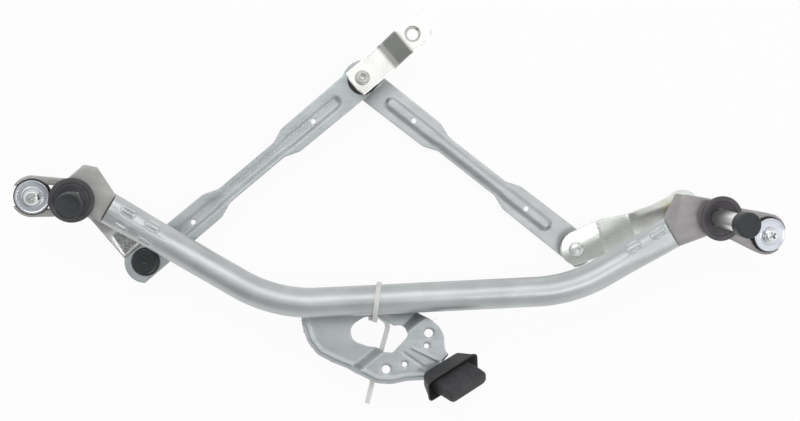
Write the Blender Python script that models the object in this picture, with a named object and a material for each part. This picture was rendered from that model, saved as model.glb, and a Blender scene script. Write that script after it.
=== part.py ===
"""Wiper linkage of a car with two wiper shafts.

A bent steel tube carries a die-cast pivot housing at each end and a pressed motor plate in the
middle. Each housing holds a wiper shaft with a lever, two pressed links with moulded ball sockets
join the levers, and a crank for the motor shaft hangs on the double ball stud between the links.

Drawing coordinates: the motor's axis is X = Y = 0, the tube's centreline lies at Z = 0, and the
wiper shafts point up. One empty carries the whole assembly, so that the part's own origin lies on
the motor seat.
"""

import math

import bmesh
import bpy
from mathutils import Matrix, Vector
from mathutils.geometry import delaunay_2d_cdt

MM = 0.001
GAP = 0.3 * MM
ROUND_STEPS = 16
CAP_STEPS = 24
TUBE_STEPS = 18
SMALL_STEPS = 12
BALL_STEPS = 14

# Main sizes in millimetres, from the motor's axis and the tube's centreline
LEFT_PIVOT_X = -286.6
LEFT_PIVOT_Y = 125.5
RIGHT_PIVOT_X = 287.0
RIGHT_PIVOT_Y = 109.3
RING_HEIGHT = 22.0
CRANK_PIN_X = -31.6
CRANK_PIN_Y = 238.6
UPPER_BALL_LEVEL = -36.5
LOWER_BALL_LEVEL = -52.5
LEFT_END_OFFSET_X = 26.7
LEFT_END_OFFSET_Y = -6.6
RIGHT_END_OFFSET_X = -39.4
RIGHT_END_OFFSET_Y = -12.1
LEFT_BALL_OFFSET_X = 53.0
LEFT_BALL_OFFSET_Y = -56.4
RIGHT_BALL_OFFSET_X = -120.4
RIGHT_BALL_OFFSET_Y = -26.3

# Frame tube. Its ends keep their place beside the shafts
TUBE_RADIUS = 13.5 * MM
TUBE_WALL = 2.0 * MM
TUBE_BEND_RADIUS = 130 * MM
TUBE_START = Vector((LEFT_PIVOT_X + LEFT_END_OFFSET_X, LEFT_PIVOT_Y + LEFT_END_OFFSET_Y, 0)) * MM
TUBE_LEFT_BEND = Vector((-108.9, 31.8, 0)) * MM
TUBE_RIGHT_BEND = Vector((157.3, 45.1, 0)) * MM
TUBE_END = Vector((RIGHT_PIVOT_X + RIGHT_END_OFFSET_X, RIGHT_PIVOT_Y + RIGHT_END_OFFSET_Y, 0)) * MM
TUBE_END_HALF_WIDTH = 14.25 * MM
TUBE_END_HALF_HEIGHT = 10.5 * MM
TUBE_END_TAPER = 55 * MM
CRIMP_LENGTH = 12.6 * MM
CRIMP_WIDTH = 7.2 * MM
CRIMP_DEPTH = 0.9 * MM
CRIMP_BAR_LENGTH = 7.5 * MM
CRIMP_BAR_WIDTH = 1.5 * MM
CRIMP_BAR_SPACING = 3.0 * MM
CRIMP_BAR_DEPTH = 1.4 * MM
CRIMP_PITCH = 25.7 * MM
LEFT_CRIMP_START = 15.8 * MM
RIGHT_CRIMP_START = 10.4 * MM
CRIMP_UPPER_OFFSET = 6.9 * MM
CRIMP_LOWER_OFFSET = 9.4 * MM

# Wiper shafts, which lean alike
SHAFT_LEAN = Vector((0.226, -0.121, 1.0)).normalized()
LEFT_RING = Vector((LEFT_PIVOT_X, LEFT_PIVOT_Y, RING_HEIGHT)) * MM
RIGHT_RING = Vector((RIGHT_PIVOT_X, RIGHT_PIVOT_Y, RING_HEIGHT)) * MM
SHAFT_RADIUS = 8.0 * MM
SHAFT_TAIL_RADIUS = 6.7 * MM
SHAFT_HEAD_RADIUS = 10.0 * MM
SHAFT_HEAD_HEIGHT = 2.4 * MM
CONE_START = 38.5 * MM
CONE_LENGTH = 4.5 * MM
CONE_TOP_RADIUS = 6.4 * MM
THREAD_RADIUS = 3.9 * MM
THREAD_LENGTH = 2.3 * MM
CLIP_GROOVE_DEPTH = 0.9 * MM
CAP_TOP = 48.0 * MM
CAP_HEIGHT = 11.0 * MM
CAP_RADIUS = 11.2 * MM
CAP_WALL = 1.8 * MM

# Seal ring on top of each housing
SEAL_RADIUS = 20.0 * MM
SEAL_HEIGHT = 10.0 * MM
SEAL_LIP_WIDTH = 4.2 * MM
SEAL_INNER_LIP_RADIUS = 13.6 * MM
SEAL_SEAT_RADIUS = 12.3 * MM

# Pivot housings
BARREL_RADIUS = 14.0 * MM
BUSH_WALL = 1.7 * MM
BUSH_LENGTH = 15.0 * MM
LEFT_BARREL_BOTTOM = -57.5 * MM
RIGHT_BARREL_BOTTOM = -74.0 * MM
DECK_DEPTH = 17.0 * MM
LEFT_DECK_OUTLINE = [
    (-14 * MM, -9 * MM), (-14 * MM, 9 * MM), (0.5 * MM, 20.5 * MM), (10.3 * MM, 29.7 * MM),
    (22.3 * MM, 27.2 * MM), (35.5 * MM, 4.5 * MM), (24.1 * MM, -19.3 * MM), (12.3 * MM, -16.5 * MM),
]
RIGHT_DECK_OUTLINE = [
    (-38.0 * MM, 18.1 * MM), (-32.8 * MM, 20.8 * MM), (-10.3 * MM, 16.8 * MM), (10 * MM, 12 * MM),
    (12 * MM, -10 * MM), (-9.7 * MM, -14.9 * MM), (-24 * MM, -17.6 * MM),
]
TONGUE_HALF_WIDTH = 9.0 * MM
TONGUE_HALF_HEIGHT = 6.4 * MM
TONGUE_LENGTH = 52.0 * MM
NECK_LENGTH = 9.0 * MM
RIB_THICKNESS = 5.0 * MM
WASHER_THICKNESS = 1.0 * MM
CLIP_THICKNESS = 1.0 * MM
CLIP_OUTER_RADIUS = 10.8 * MM
CLIP_OPENING = 20
CLIP_INNER_OPENING = 24

# Mounting ears: fork, grommet, sleeve, washer and screw
LEFT_EAR_CENTRE = Vector((-34.6, 1.9)) * MM
RIGHT_EAR_CENTRE = Vector((50.6, -16.8)) * MM
LEFT_EAR_TOP = -16.0 * MM
RIGHT_EAR_TOP = -6.0 * MM
LEFT_FORK_ROOT_HALF = 16.5 * MM
RIGHT_FORK_ROOT_HALF = 14.0 * MM
FORK_TIP_HALF = 18.8 * MM
FORK_RAIL = 4.2 * MM
FORK_THICKNESS = 7.0 * MM
FORK_MOUTH_HALF = 9.2 * MM
GROMMET_GROOVE_RADIUS = 14.2 * MM
GROMMET_RADIUS = 16.4 * MM
GROMMET_FLANGE = 2.4 * MM
SLEEVE_RADIUS = 5.6 * MM
SLEEVE_BORE_RADIUS = 3.5 * MM
MOUNT_WASHER_RADIUS = 15.0 * MM
MOUNT_WASHER_THICKNESS = 1.6 * MM
SCREW_HEAD_RADIUS = 7.3 * MM
SCREW_HEAD_HEIGHT = 4.8 * MM
SCREW_RADIUS = 3.1 * MM
SCREW_LENGTH = 22.0 * MM
SCREW_CROSS_LENGTH = 7.0 * MM
SCREW_CROSS_WIDTH = 1.6 * MM
SCREW_CROSS_DEPTH = 2.2 * MM

# Levers
LEVER_THICKNESS = 3.0 * MM
LEFT_BALL_X = LEFT_PIVOT_X + LEFT_BALL_OFFSET_X
LEFT_BALL_Y = LEFT_PIVOT_Y + LEFT_BALL_OFFSET_Y
RIGHT_BALL_X = RIGHT_PIVOT_X + RIGHT_BALL_OFFSET_X
RIGHT_BALL_Y = RIGHT_PIVOT_Y + RIGHT_BALL_OFFSET_Y
LEFT_BALL = Vector((LEFT_BALL_X, LEFT_BALL_Y, UPPER_BALL_LEVEL)) * MM
RIGHT_BALL = Vector((RIGHT_BALL_X, RIGHT_BALL_Y, LOWER_BALL_LEVEL)) * MM
LEFT_HUB_RADIUS = 15.0 * MM
RIGHT_HUB_RADIUS = 17.0 * MM
LEFT_LEVER_WAIST = 8.0 * MM
LEFT_LEVER_END_RADIUS = 14.5 * MM
LEFT_LEVER_STEP_START = 22.0 * MM
LEFT_LEVER_STEP_END = 52.0 * MM
RIGHT_LEVER_END_RADIUS = 16.5 * MM
RIGHT_LEVER_FIRST_BEND = 54.0 * MM
RIGHT_LEVER_SECOND_BEND = 86.0 * MM
RIGHT_LEVER_SLOPE = 0.173
STUD_DROP = 13.0 * MM
STUD_RISE = 10.0 * MM

# Ball studs and moulded sockets
BALL_RADIUS = 7.5 * MM
BALL_PLAY = 0.5 * MM
STUD_NECK_RADIUS = 3.6 * MM
STUD_SHANK_RADIUS = 4.2 * MM
STUD_COLLAR_RADIUS = 7.0 * MM
STUD_HEAD_RADIUS = 6.9 * MM
STUD_HEAD_HEIGHT = 4.6 * MM
SOCKET_GROOVE_RADIUS = 11.1 * MM
SOCKET_FLANGE_RADIUS = 13.3 * MM
SOCKET_WIDE_FLANGE_RADIUS = 14.4 * MM
SOCKET_FLANGE = 2.2 * MM
SOCKET_CLOSED_REACH = 9.6 * MM
SOCKET_OPEN_REACH = 6.4 * MM
SOCKET_LOWER_RADIUS = 12.6 * MM
OPEN_PIVOT_CLEARANCE = 2.9 * MM
OPEN_SOCKET_GROOVE_RADIUS = 12.2 * MM
OPEN_SOCKET_FLANGE_RADIUS = 14.4 * MM

# Pressed links
LINK_THICKNESS = 2.0 * MM
LINK_END_HALF = 14.75 * MM
LINK_WIDE_HALF = 13.75 * MM
LINK_NARROW_HALF = 8.4 * MM
LINK_END_RADIUS = 20.0 * MM
LINK_WAIST_RAMP = 14.0 * MM
LINK_CORNER_RADIUS = 7.0 * MM
LEFT_LINK_WIDE_REACH = 81.0 * MM
LEFT_LINK_FAR_REACH = 88.0 * MM
RIGHT_LINK_WIDE_REACH = 74.0 * MM
RIGHT_LINK_FAR_REACH = 82.0 * MM
BEAD_START = 27.0 * MM
BEAD_HALF_WIDTH = 6.5 * MM
BEAD_FLOOR_HALF_WIDTH = 3.4 * MM
BEAD_DEPTH = 3.0 * MM
LINK_HOLE_RADIUS = 2.4 * MM
LINK_HOLE_NEAR = 57.0 * MM
LINK_HOLE_FAR = 60.5 * MM

# Crank and its double ball stud
CRANK_PIN = Vector((CRANK_PIN_X, CRANK_PIN_Y, 0)) * MM
UPPER_BALL_HEIGHT = UPPER_BALL_LEVEL * MM
LOWER_BALL_HEIGHT = LOWER_BALL_LEVEL * MM
CRANK_ANGLE = math.radians(40)
CRANK_LENGTH = 60.0 * MM
CRANK_HALF_WIDTH = 13.0 * MM
CRANK_THICKNESS = 4.5 * MM
CRANK_PIN_TOP = -22.0 * MM
CRANK_STEP = 12.0 * MM
CRANK_STEP_START = 29.0 * MM
CRANK_STEP_END = 49.5 * MM
CRANK_PIN_END = 9.8 * MM
CRANK_FAR_END = 16.0 * MM
CRANK_CLIP = 5.5 * MM
CRANK_HOLE_TOP_RADIUS = 7.4 * MM
CRANK_HOLE_BOTTOM_RADIUS = 5.4 * MM

# Motor plate
PLATE_THICKNESS = 2.5 * MM
SEAT_HEIGHT = -6.8 * MM
SEAT_OFFSET = 19.0 * MM
PLATE_LOW = -(TUBE_RADIUS + GAP)
JOGGLE_WIDTH = 9.0 * MM
JOGGLE_POINT = Vector((-7.0, 3.0)) * MM
JOGGLE_ANGLE = math.radians(39)
RIM_WIDTH = 3.0 * MM
RIM_DROP = 4.2 * MM
BOLT_HOLE_RADIUS = 4.3 * MM
SMALL_HOLE_RADIUS = 2.7 * MM
CRADLE_REACH = 10.0 * MM

# Rubber foot on the plate's tongue
FOOT_CENTRE = Vector((40.3, -27.1, -5.0)) * MM
FOOT_AXIS = Vector((0.6587, -0.3520, 0.6666)).normalized()
FOOT_LONG = Vector((0.7496, 0.3811, -0.5414)).normalized()
FOOT_TONGUE_ROOT = Vector((37.3, -25.5)) * MM
FOOT_TONGUE_HALF = 6.0 * MM
FOOT_TONGUE_LENGTH = 12.4 * MM

# Cable tie round the tube
TIE_WIDTH = 4.6 * MM
TIE_THICKNESS = 1.2 * MM
TIE_X = -22.0 * MM
TIE_HOLE_EDGE = 15.8 * MM
TIE_HEAD_HEIGHT = 5.0 * MM
TIE_TAIL = [
    (-19.0, 21.5, -20.2),
    (-10.5, 15.5, -21.2),
    (-8.6, 9.0, -21.8),
    (-14.2, -11.3, -22.8),
    (-22.7, -41.7, -23.2),
    (-27.3, -60.9, -21.5),
]


def finish(name, colour, roughness, metallic):
    """A Principled material."""
    made = bpy.data.materials.new(name)
    made.use_nodes = True
    shader = made.node_tree.nodes["Principled BSDF"]
    shader.inputs["Base Color"].default_value = (*colour, 1)
    shader.inputs["Roughness"].default_value = roughness
    shader.inputs["Metallic"].default_value = metallic
    return made


def place(name, bm, material, parent, matrix=None):
    """Turns a bmesh into a named object under its parent."""
    mesh = bpy.data.meshes.new(name)
    bm.normal_update()
    bm.to_mesh(mesh)
    bm.free()
    if material is not None:
        mesh.materials.append(material)
    mesh.shade_smooth()
    mesh.set_sharp_from_angle(angle=math.radians(35))
    made = bpy.data.objects.new(name, mesh)
    bpy.context.scene.collection.objects.link(made)
    made.parent = parent
    if matrix is not None:
        made.matrix_local = matrix
    return made


def empty(name, parent, matrix):
    made = bpy.data.objects.new(name, None)
    bpy.context.scene.collection.objects.link(made)
    made.parent = parent
    made.matrix_local = matrix
    bpy.context.view_layer.update()
    return made


def helper(obj):
    """Marks a cutter or a joining body, which isn't a piece by itself."""
    obj.hide_render = True
    obj.display_type = "WIRE"
    return obj


def boolean(obj, other, operation):
    modifier = obj.modifiers.new(f"{operation.lower()} {other.name}", "BOOLEAN")
    modifier.operation = operation
    modifier.solver = "EXACT"
    modifier.object = helper(other)


def arc(centre, radius, start, end, steps):
    """Points along an arc, with the angles in degrees."""
    x, y = centre
    angles = [math.radians(start + (end - start) * i / steps) for i in range(steps + 1)]
    return [(x + radius * math.cos(a), y + radius * math.sin(a)) for a in angles]


def circle(centre, radius, steps):
    return arc(centre, radius, 0, 360, steps)[:-1]


def rounded(corners, steps=4):
    """An outline from (x, y, radius) corners, each radius cut as an arc between its two sides."""
    points = []
    count = len(corners)
    for i, (x, y, radius) in enumerate(corners):
        here = Vector((x, y))
        before = (Vector(corners[i - 1][:2]) - here).normalized()
        after = (Vector(corners[(i + 1) % count][:2]) - here).normalized()
        half = before.angle(after) / 2
        if radius <= 0 or half > math.radians(88):
            points.append((x, y))
            continue
        centre = here + (before + after).normalized() * radius / math.sin(half)
        first = here + before * radius / math.tan(half) - centre
        last = here + after * radius / math.tan(half) - centre
        turn = first.angle_signed(last)
        for step in range(steps + 1):
            spoke = first.copy()
            spoke.rotate(Matrix.Rotation(-turn * step / steps, 2))
            points.append(tuple(centre + spoke))
    return points


def inside(point, loop):
    """Whether a point lies inside a closed outline."""
    x, y = point
    found = False
    for (x1, y1), (x2, y2) in zip(loop, loop[1:] + loop[:1]):
        if (y1 > y) != (y2 > y) and x < x1 + (y - y1) * (x2 - x1) / (y2 - y1):
            found = not found
    return found


def flat_faces(outline, holes, creases, height):
    """A sheet with this outline and holes, bent along its creases, as an open bmesh facing up."""
    points = []
    edges = []
    for line, closed in [(outline, True)] + [(h, True) for h in holes] + [(c, False) for c in creases]:
        first = len(points)
        points.extend(Vector(p) for p in line)
        edges.extend((k, k + 1) for k in range(first, len(points) - 1))
        if closed:
            edges.append((len(points) - 1, first))
    verts, _, faces = delaunay_2d_cdt(points, edges, [], 0, 1e-7)[:3]
    bm = bmesh.new()
    made = {}
    for face in faces:
        centre = sum((verts[i] for i in face), Vector((0, 0))) / len(face)
        if not inside(centre, outline) or any(inside(centre, hole) for hole in holes):
            continue
        for i in face:
            if i not in made:
                made[i] = bm.verts.new((*verts[i], height(*verts[i])))
        bm.faces.new([made[i] for i in face])
    for face in bm.faces:
        if face.calc_area() and face.normal.z < 0:
            face.normal_flip()
    bmesh.ops.recalc_face_normals(bm, faces=bm.faces)
    if sum(face.normal.z for face in bm.faces) < 0:
        bmesh.ops.reverse_faces(bm, faces=bm.faces)
    return bm


def pressed(name, outline, holes, creases, height, thickness, material, parent, matrix=None):
    """A pressed sheet: its upper face follows the height function, and Solidify adds the gauge."""
    bm = flat_faces(outline, holes, creases, height)
    made = place(name, bm, material, parent, matrix)
    gauge = made.modifiers.new("gauge", "SOLIDIFY")
    gauge.thickness = thickness
    gauge.offset = -1
    gauge.use_even_offset = True
    return made


def prism(name, outline, holes, bottom, top, material, parent, matrix=None):
    """A straight-sided body with this plan between two heights."""
    bm = flat_faces(outline, holes, [], lambda x, y: bottom)
    raised = bmesh.ops.extrude_face_region(bm, geom=bm.faces[:])
    upper = [v for v in raised["geom"] if isinstance(v, bmesh.types.BMVert)]
    bmesh.ops.translate(bm, verts=upper, vec=(0, 0, top - bottom))
    bmesh.ops.recalc_face_normals(bm, faces=bm.faces)
    return place(name, bm, material, parent, matrix)


def turned(name, profile, material, parent, matrix=None, steps=ROUND_STEPS):
    """A body turned about its Z axis. A profile that starts off the axis closes on itself, as a ring."""
    bm = bmesh.new()
    verts = [bm.verts.new((radius, 0, height)) for radius, height in profile]
    edges = [bm.edges.new(pair) for pair in zip(verts, verts[1:])]
    if profile[0][0] > 0:
        edges.append(bm.edges.new((verts[-1], verts[0])))
    bmesh.ops.spin(
        bm, geom=verts + edges, cent=(0, 0, 0), axis=(0, 0, 1), angle=math.tau, steps=steps
    )
    bmesh.ops.remove_doubles(bm, verts=bm.verts, dist=1e-6)
    bmesh.ops.recalc_face_normals(bm, faces=bm.faces)
    return place(name, bm, material, parent, matrix)


def lofted(name, loops, material, parent, matrix=None):
    """A body through loops of equal point counts, closed by a face on the first and the last."""
    bm = bmesh.new()
    rings = [[bm.verts.new(point) for point in loop] for loop in loops]
    for lower, upper in zip(rings, rings[1:]):
        for i in range(len(lower)):
            bm.faces.new((lower[i - 1], lower[i], upper[i], upper[i - 1]))
    bm.faces.new(rings[0])
    bm.faces.new(rings[-1])
    bmesh.ops.recalc_face_normals(bm, faces=bm.faces)
    return place(name, bm, material, parent, matrix)


def hull(name, points, material, parent, matrix=None):
    """The convex body round a set of points."""
    bm = bmesh.new()
    verts = [bm.verts.new(point) for point in points]
    made = bmesh.ops.convex_hull(bm, input=verts)
    spare = {v for v in made["geom_interior"] + made["geom_unused"] if isinstance(v, bmesh.types.BMVert)}
    bmesh.ops.delete(bm, geom=list(spare), context="VERTS")
    bmesh.ops.recalc_face_normals(bm, faces=bm.faces)
    return place(name, bm, material, parent, matrix)


def ball_arc(radius, centre, start, end, steps):
    """Profile points on a ball, as (radius, height), with the angles up from its equator in degrees."""
    return [(r, h + centre) for r, h in arc((0, 0), radius, start, end, steps)]


def frame_along(axis, across, origin):
    """A frame at the origin given, with Z along the axis and X as near as can be to the second vector."""
    z = axis.normalized()
    x = (across - across.dot(z) * z).normalized()
    y = z.cross(x)
    turn = Matrix((x, y, z)).transposed().to_4x4()
    return Matrix.Translation(origin) @ turn


def tube_section(run, half_width, half_height):
    """One section of the tube, round in the middle of its run and squarer where it is pressed at the ends."""
    points = []
    power = 2 + 1.0 * run
    for i in range(TUBE_STEPS):
        angle = math.tau * (i + 0.5) / TUBE_STEPS
        across = abs(math.cos(angle)) / half_width
        up = abs(math.sin(angle)) / half_height
        reach = (across**power + up**power) ** (-1 / power)
        points.append((reach * math.cos(angle), reach * math.sin(angle)))
    return points


def tube_stations():
    """Places and directions along the tube's centreline, with an arc at each bend."""
    corners = [TUBE_START, TUBE_LEFT_BEND, TUBE_RIGHT_BEND, TUBE_END]
    arcs = []
    for before, corner, after in zip(corners, corners[1:], corners[2:]):
        back = (before - corner).normalized()
        on = (after - corner).normalized()
        half = back.angle(on) / 2
        centre = corner + (back + on).normalized() * TUBE_BEND_RADIUS / math.sin(half)
        first = corner + back * TUBE_BEND_RADIUS / math.tan(half)
        spoke = first - centre
        turn = math.pi - 2 * half
        if back.cross(on).z > 0:
            turn = -turn
        steps = 4
        places = []
        for k in range(steps + 1):
            spin = Matrix.Rotation(turn * k / steps, 3, "Z")
            places.append((centre + spin @ spoke, spin @ -back))
        arcs.append(places)
    start_way = (corners[1] - corners[0]).normalized()
    end_way = (corners[3] - corners[2]).normalized()
    taper = [TUBE_END_TAPER * k / 2 for k in range(3)]
    stations = [(corners[0] + start_way * s, start_way) for s in taper]
    stations += arcs[0] + arcs[1]
    stations += [(corners[3] - end_way * s, end_way) for s in reversed(taper)]
    return stations


def end_share(place_on_tube):
    """How far the tube is pressed towards its end shape there, from 0 to 1."""
    near = min((place_on_tube - TUBE_START).length, (place_on_tube - TUBE_END).length)
    share = max(0.0, 1 - near / TUBE_END_TAPER)
    return share * share * (3 - 2 * share)


def tube_loop(station, inset):
    centre, way = station
    share = end_share(centre)
    half_width = TUBE_RADIUS + (TUBE_END_HALF_WIDTH - TUBE_RADIUS) * share - inset
    half_height = TUBE_RADIUS + (TUBE_END_HALF_HEIGHT - TUBE_RADIUS) * share - inset
    side = Vector((0, 0, 1)).cross(way)
    loop = []
    for across, up in tube_section(share, half_width, half_height):
        loop.append(centre + side * across + Vector((0, 0, up)))
    return loop


def tube_top(distance, offset, from_left):
    """A frame on the tube's upper face, at a distance from its end and to one side of its centreline."""
    if from_left:
        way = (TUBE_LEFT_BEND - TUBE_START).normalized()
        centre = TUBE_START + way * distance
    else:
        way = (TUBE_END - TUBE_RIGHT_BEND).normalized()
        centre = TUBE_END - way * distance
    share = end_share(centre)
    side = Vector((0, 0, 1)).cross(way)
    half_width = TUBE_RADIUS + (TUBE_END_HALF_WIDTH - TUBE_RADIUS) * share
    half_height = TUBE_RADIUS + (TUBE_END_HALF_HEIGHT - TUBE_RADIUS) * share
    power = 2 + 1.0 * share
    ratio = abs(offset) / half_width
    up = half_height * (1 - ratio**power) ** (1 / power)
    slope = (half_height / half_width) * ratio ** (power - 1) / (up / half_height) ** (power - 1)
    lean = math.copysign(slope, offset)
    normal = (Vector((0, 0, 1)) + side * lean).normalized()
    return frame_along(normal, way, centre + side * offset + Vector((0, 0, up)))


def capsule(length, width, steps=4):
    """A round-ended slot's outline about the origin, along X."""
    half = (length - width) / 2
    right = arc((half, 0), width / 2, -90, 90, steps)
    left = arc((-half, 0), width / 2, 90, 270, steps)
    return right + left


def join_loops(name, outlines, bottom, top, frames, parent):
    """Several straight-sided cutters in one object, each in a frame of its own."""
    whole = bmesh.new()
    for frame in frames:
        for outline in outlines:
            lower = [whole.verts.new(frame @ Vector((x, y, bottom))) for x, y in outline]
            upper = [whole.verts.new(frame @ Vector((x, y, top))) for x, y in outline]
            for i in range(len(outline)):
                whole.faces.new((lower[i - 1], lower[i], upper[i], upper[i - 1]))
            whole.faces.new(list(reversed(lower)))
            whole.faces.new(upper)
    bmesh.ops.recalc_face_normals(whole, faces=whole.faces)
    return place(name, whole, None, parent)


def build_tube(parent, material):
    stations = tube_stations()
    outer = [tube_loop(station, 0) for station in stations]
    inner = [tube_loop(station, TUBE_WALL) for station in stations]
    bm = bmesh.new()
    skins = []
    for loops in (outer, inner):
        rings = [[bm.verts.new(point) for point in loop] for loop in loops]
        skins.append(rings)
        for lower, upper in zip(rings, rings[1:]):
            for i in range(len(lower)):
                bm.faces.new((lower[i - 1], lower[i], upper[i], upper[i - 1]))
    for end in (0, -1):
        outside, bore = skins[0][end], skins[1][end]
        for i in range(len(outside)):
            bm.faces.new((outside[i - 1], outside[i], bore[i], bore[i - 1]))
    bmesh.ops.recalc_face_normals(bm, faces=bm.faces)
    tube = place("frame_tube", bm, material, parent)

    frames = []
    for k in range(2):
        left = LEFT_CRIMP_START + CRIMP_PITCH * k
        right = RIGHT_CRIMP_START + CRIMP_PITCH * k
        frames.append(tube_top(left, CRIMP_UPPER_OFFSET, True))
        frames.append(tube_top(left, -CRIMP_LOWER_OFFSET, True))
        frames.append(tube_top(right, CRIMP_UPPER_OFFSET, False))
    above = 3 * MM
    pocket = capsule(CRIMP_LENGTH, CRIMP_WIDTH, 3)
    boolean(tube, join_loops("crimp_pockets", [pocket], -CRIMP_DEPTH, above, frames, parent), "DIFFERENCE")
    bars = []
    for side in (-1, 1):
        bar = capsule(CRIMP_BAR_LENGTH, CRIMP_BAR_WIDTH, 2)
        bars.append([(x, y + side * CRIMP_BAR_SPACING / 2) for x, y in bar])
    boolean(tube, join_loops("crimp_bars", bars, -CRIMP_BAR_DEPTH, above, frames, parent), "DIFFERENCE")
    return tube


def neck_frame(from_left):
    """A frame at the tube's end, with Z pointing into the tube and Y up."""
    if from_left:
        way = (TUBE_LEFT_BEND - TUBE_START).normalized()
        return frame_along(way, Vector((0, 0, 1)).cross(way), TUBE_START)
    way = (TUBE_RIGHT_BEND - TUBE_END).normalized()
    return frame_along(way, Vector((0, 0, 1)).cross(way), TUBE_END)


def build_housing(name, pivot, from_left, outline, barrel_bottom, ear_centre, ear_top, root_half, material):
    """A die-cast housing: barrel, faceted block, tongue in the tube, rib and open mounting fork."""
    deck = -SEAL_HEIGHT - GAP
    barrel = [
        (0, barrel_bottom),
        (BARREL_RADIUS - 1 * MM, barrel_bottom),
        (BARREL_RADIUS, barrel_bottom + 1 * MM),
        (BARREL_RADIUS + 1.5 * MM, deck - 1 * MM),
        (BARREL_RADIUS + 0.5 * MM, deck),
        (0, deck),
    ]
    body = turned(name, barrel, material, pivot)
    into_pivot = pivot.matrix_local.inverted() @ neck_frame(from_left)
    section = tube_section(1, TUBE_END_HALF_WIDTH, TUBE_END_HALF_HEIGHT)
    mouth = [into_pivot @ Vector((x, y, -GAP)) for x, y in section]
    neck = [into_pivot @ Vector((x, y, -NECK_LENGTH)) for x, y in section]
    top = [Vector((x, y, deck - 0.05 * MM)) for x, y in outline]
    low = [Vector((x * 0.93, y * 0.93, deck - DECK_DEPTH)) for x, y in outline]
    end, way = into_pivot.translation, into_pivot.to_3x3() @ Vector((0, 0, 1))
    for point in top + low:
        point -= way * max(0.0, (point - end).dot(way) + GAP)
    root = [into_pivot @ Vector((x * 0.95, y * 0.95, 2 * MM - NECK_LENGTH)) for x, y in section]
    for point in neck + root:
        point.z = min(point.z, deck - 0.2 * MM)
    boolean(body, hull(name + "_block", root + top + low, None, pivot), "UNION")
    boolean(body, hull(name + "_neck", mouth + neck, None, pivot), "UNION")

    tongue = tube_section(1, TONGUE_HALF_WIDTH, TONGUE_HALF_HEIGHT)
    loops = [[into_pivot @ Vector((x, y, z)) for x, y in tongue] for z in (-NECK_LENGTH / 2, TONGUE_LENGTH - 4 * MM)]
    tip = [into_pivot @ Vector((x * 0.75, y * 0.75, TONGUE_LENGTH)) for x, y in tongue]
    boolean(body, lofted(name + "_tongue", loops + [tip], None, pivot), "UNION")

    towards = into_pivot @ Vector((0, 0, -NECK_LENGTH))
    reach = Vector((towards.x, towards.y))
    along = math.atan2(reach.y, reach.x)
    half = RIB_THICKNESS / 2
    turn = Matrix.Rotation(along, 4, "Z")
    rib = []
    for side in (-half, half):
        rib.append(turn @ Vector((0, side, deck - DECK_DEPTH / 2)))
        rib.append(turn @ Vector((reach.length * 0.9, side, deck - DECK_DEPTH / 2 - 2 * MM)))
        rib.append(turn @ Vector((reach.length * 0.7, side, deck - DECK_DEPTH - 3 * MM)))
        rib.append(turn @ Vector((BARREL_RADIUS * 0.9, side, barrel_bottom + 8 * MM)))
        rib.append(turn @ Vector((0, side, barrel_bottom + 8 * MM)))
    boolean(body, hull(name + "_rib", rib, None, pivot), "UNION")

    fork = build_fork(name + "_fork", ear_centre, ear_top, root_half, pivot)
    boolean(body, fork, "UNION")

    bore = SHAFT_RADIUS + GAP + BUSH_WALL + GAP
    over = 5 * MM
    channel = [
        (0, barrel_bottom - over),
        (bore, barrel_bottom - over),
        (bore, barrel_bottom + BUSH_LENGTH + GAP),
        (bore - 1 * MM, barrel_bottom + BUSH_LENGTH + GAP),
        (bore - 1 * MM, deck - BUSH_LENGTH - GAP),
        (bore, deck - BUSH_LENGTH - GAP),
        (bore, deck + over),
        (0, deck + over),
    ]
    boolean(body, turned(name + "_bore", channel, None, pivot), "DIFFERENCE")
    return body


def fork_levels(ear_top):
    """The fork's top and bottom, under the washer and the grommet's upper flange."""
    top = ear_top - MOUNT_WASHER_THICKNESS - GAP - GROMMET_FLANGE - GAP
    return top, top - FORK_THICKNESS


def build_fork(name, ear_centre, ear_top, root_half, pivot):
    """Two rails from the barrel round the grommet, open at the tip."""
    distance = ear_centre.length
    tip = FORK_TIP_HALF
    outer = [(0, -root_half), (distance * 0.45, -root_half - 1 * MM), (distance, -tip)]
    outer += arc((distance, 0), tip, -62, -30, 4)
    outer += [(x, -y) for x, y in reversed(outer)]
    inner_half = root_half - FORK_RAIL
    inner = [(BARREL_RADIUS * 0.8, -inner_half), (distance * 0.45, -inner_half - 1 * MM)]
    inner += arc((distance, 0), tip - FORK_RAIL, -100, -40, 6)
    inner += [(distance + tip * 0.80, -FORK_MOUTH_HALF), (distance + tip * 1.1, -FORK_MOUTH_HALF)]
    inner += [(x, -y) for x, y in reversed(inner)]
    top, bottom = fork_levels(ear_top)
    turn = Matrix.Rotation(math.atan2(ear_centre.y, ear_centre.x), 4, "Z")
    fork = prism(name, outer, [], bottom, top, None, pivot, turn)
    over = 2 * MM
    slot = prism(name + "_slot", inner, [], bottom - over, top + over, None, pivot, turn)
    boolean(fork, slot, "DIFFERENCE")
    return fork


def build_seal(name, pivot, material):
    edge = 1.0 * MM
    outer = SEAL_RADIUS
    groove = outer - SEAL_LIP_WIDTH
    inner = SEAL_INNER_LIP_RADIUS
    seat = SEAL_SEAT_RADIUS
    neck = SHAFT_RADIUS + GAP
    floor = -SEAL_HEIGHT
    profile = [
        (seat, floor),
        (outer - 2.2 * edge, floor),
        (outer, floor + 2.5 * edge),
        (outer, -edge),
        (outer - edge, 0),
        (groove, 0),
        (groove, -3.4 * edge),
        (inner, -3.4 * edge),
        (inner - 0.7 * edge, -0.9 * edge),
        (neck + 2.0 * edge, -2.4 * edge),
        (neck, -5.0 * edge),
        (neck, -6.2 * edge),
        (seat, -6.2 * edge),
    ]
    return turned(name, profile, material, pivot, steps=20)


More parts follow.
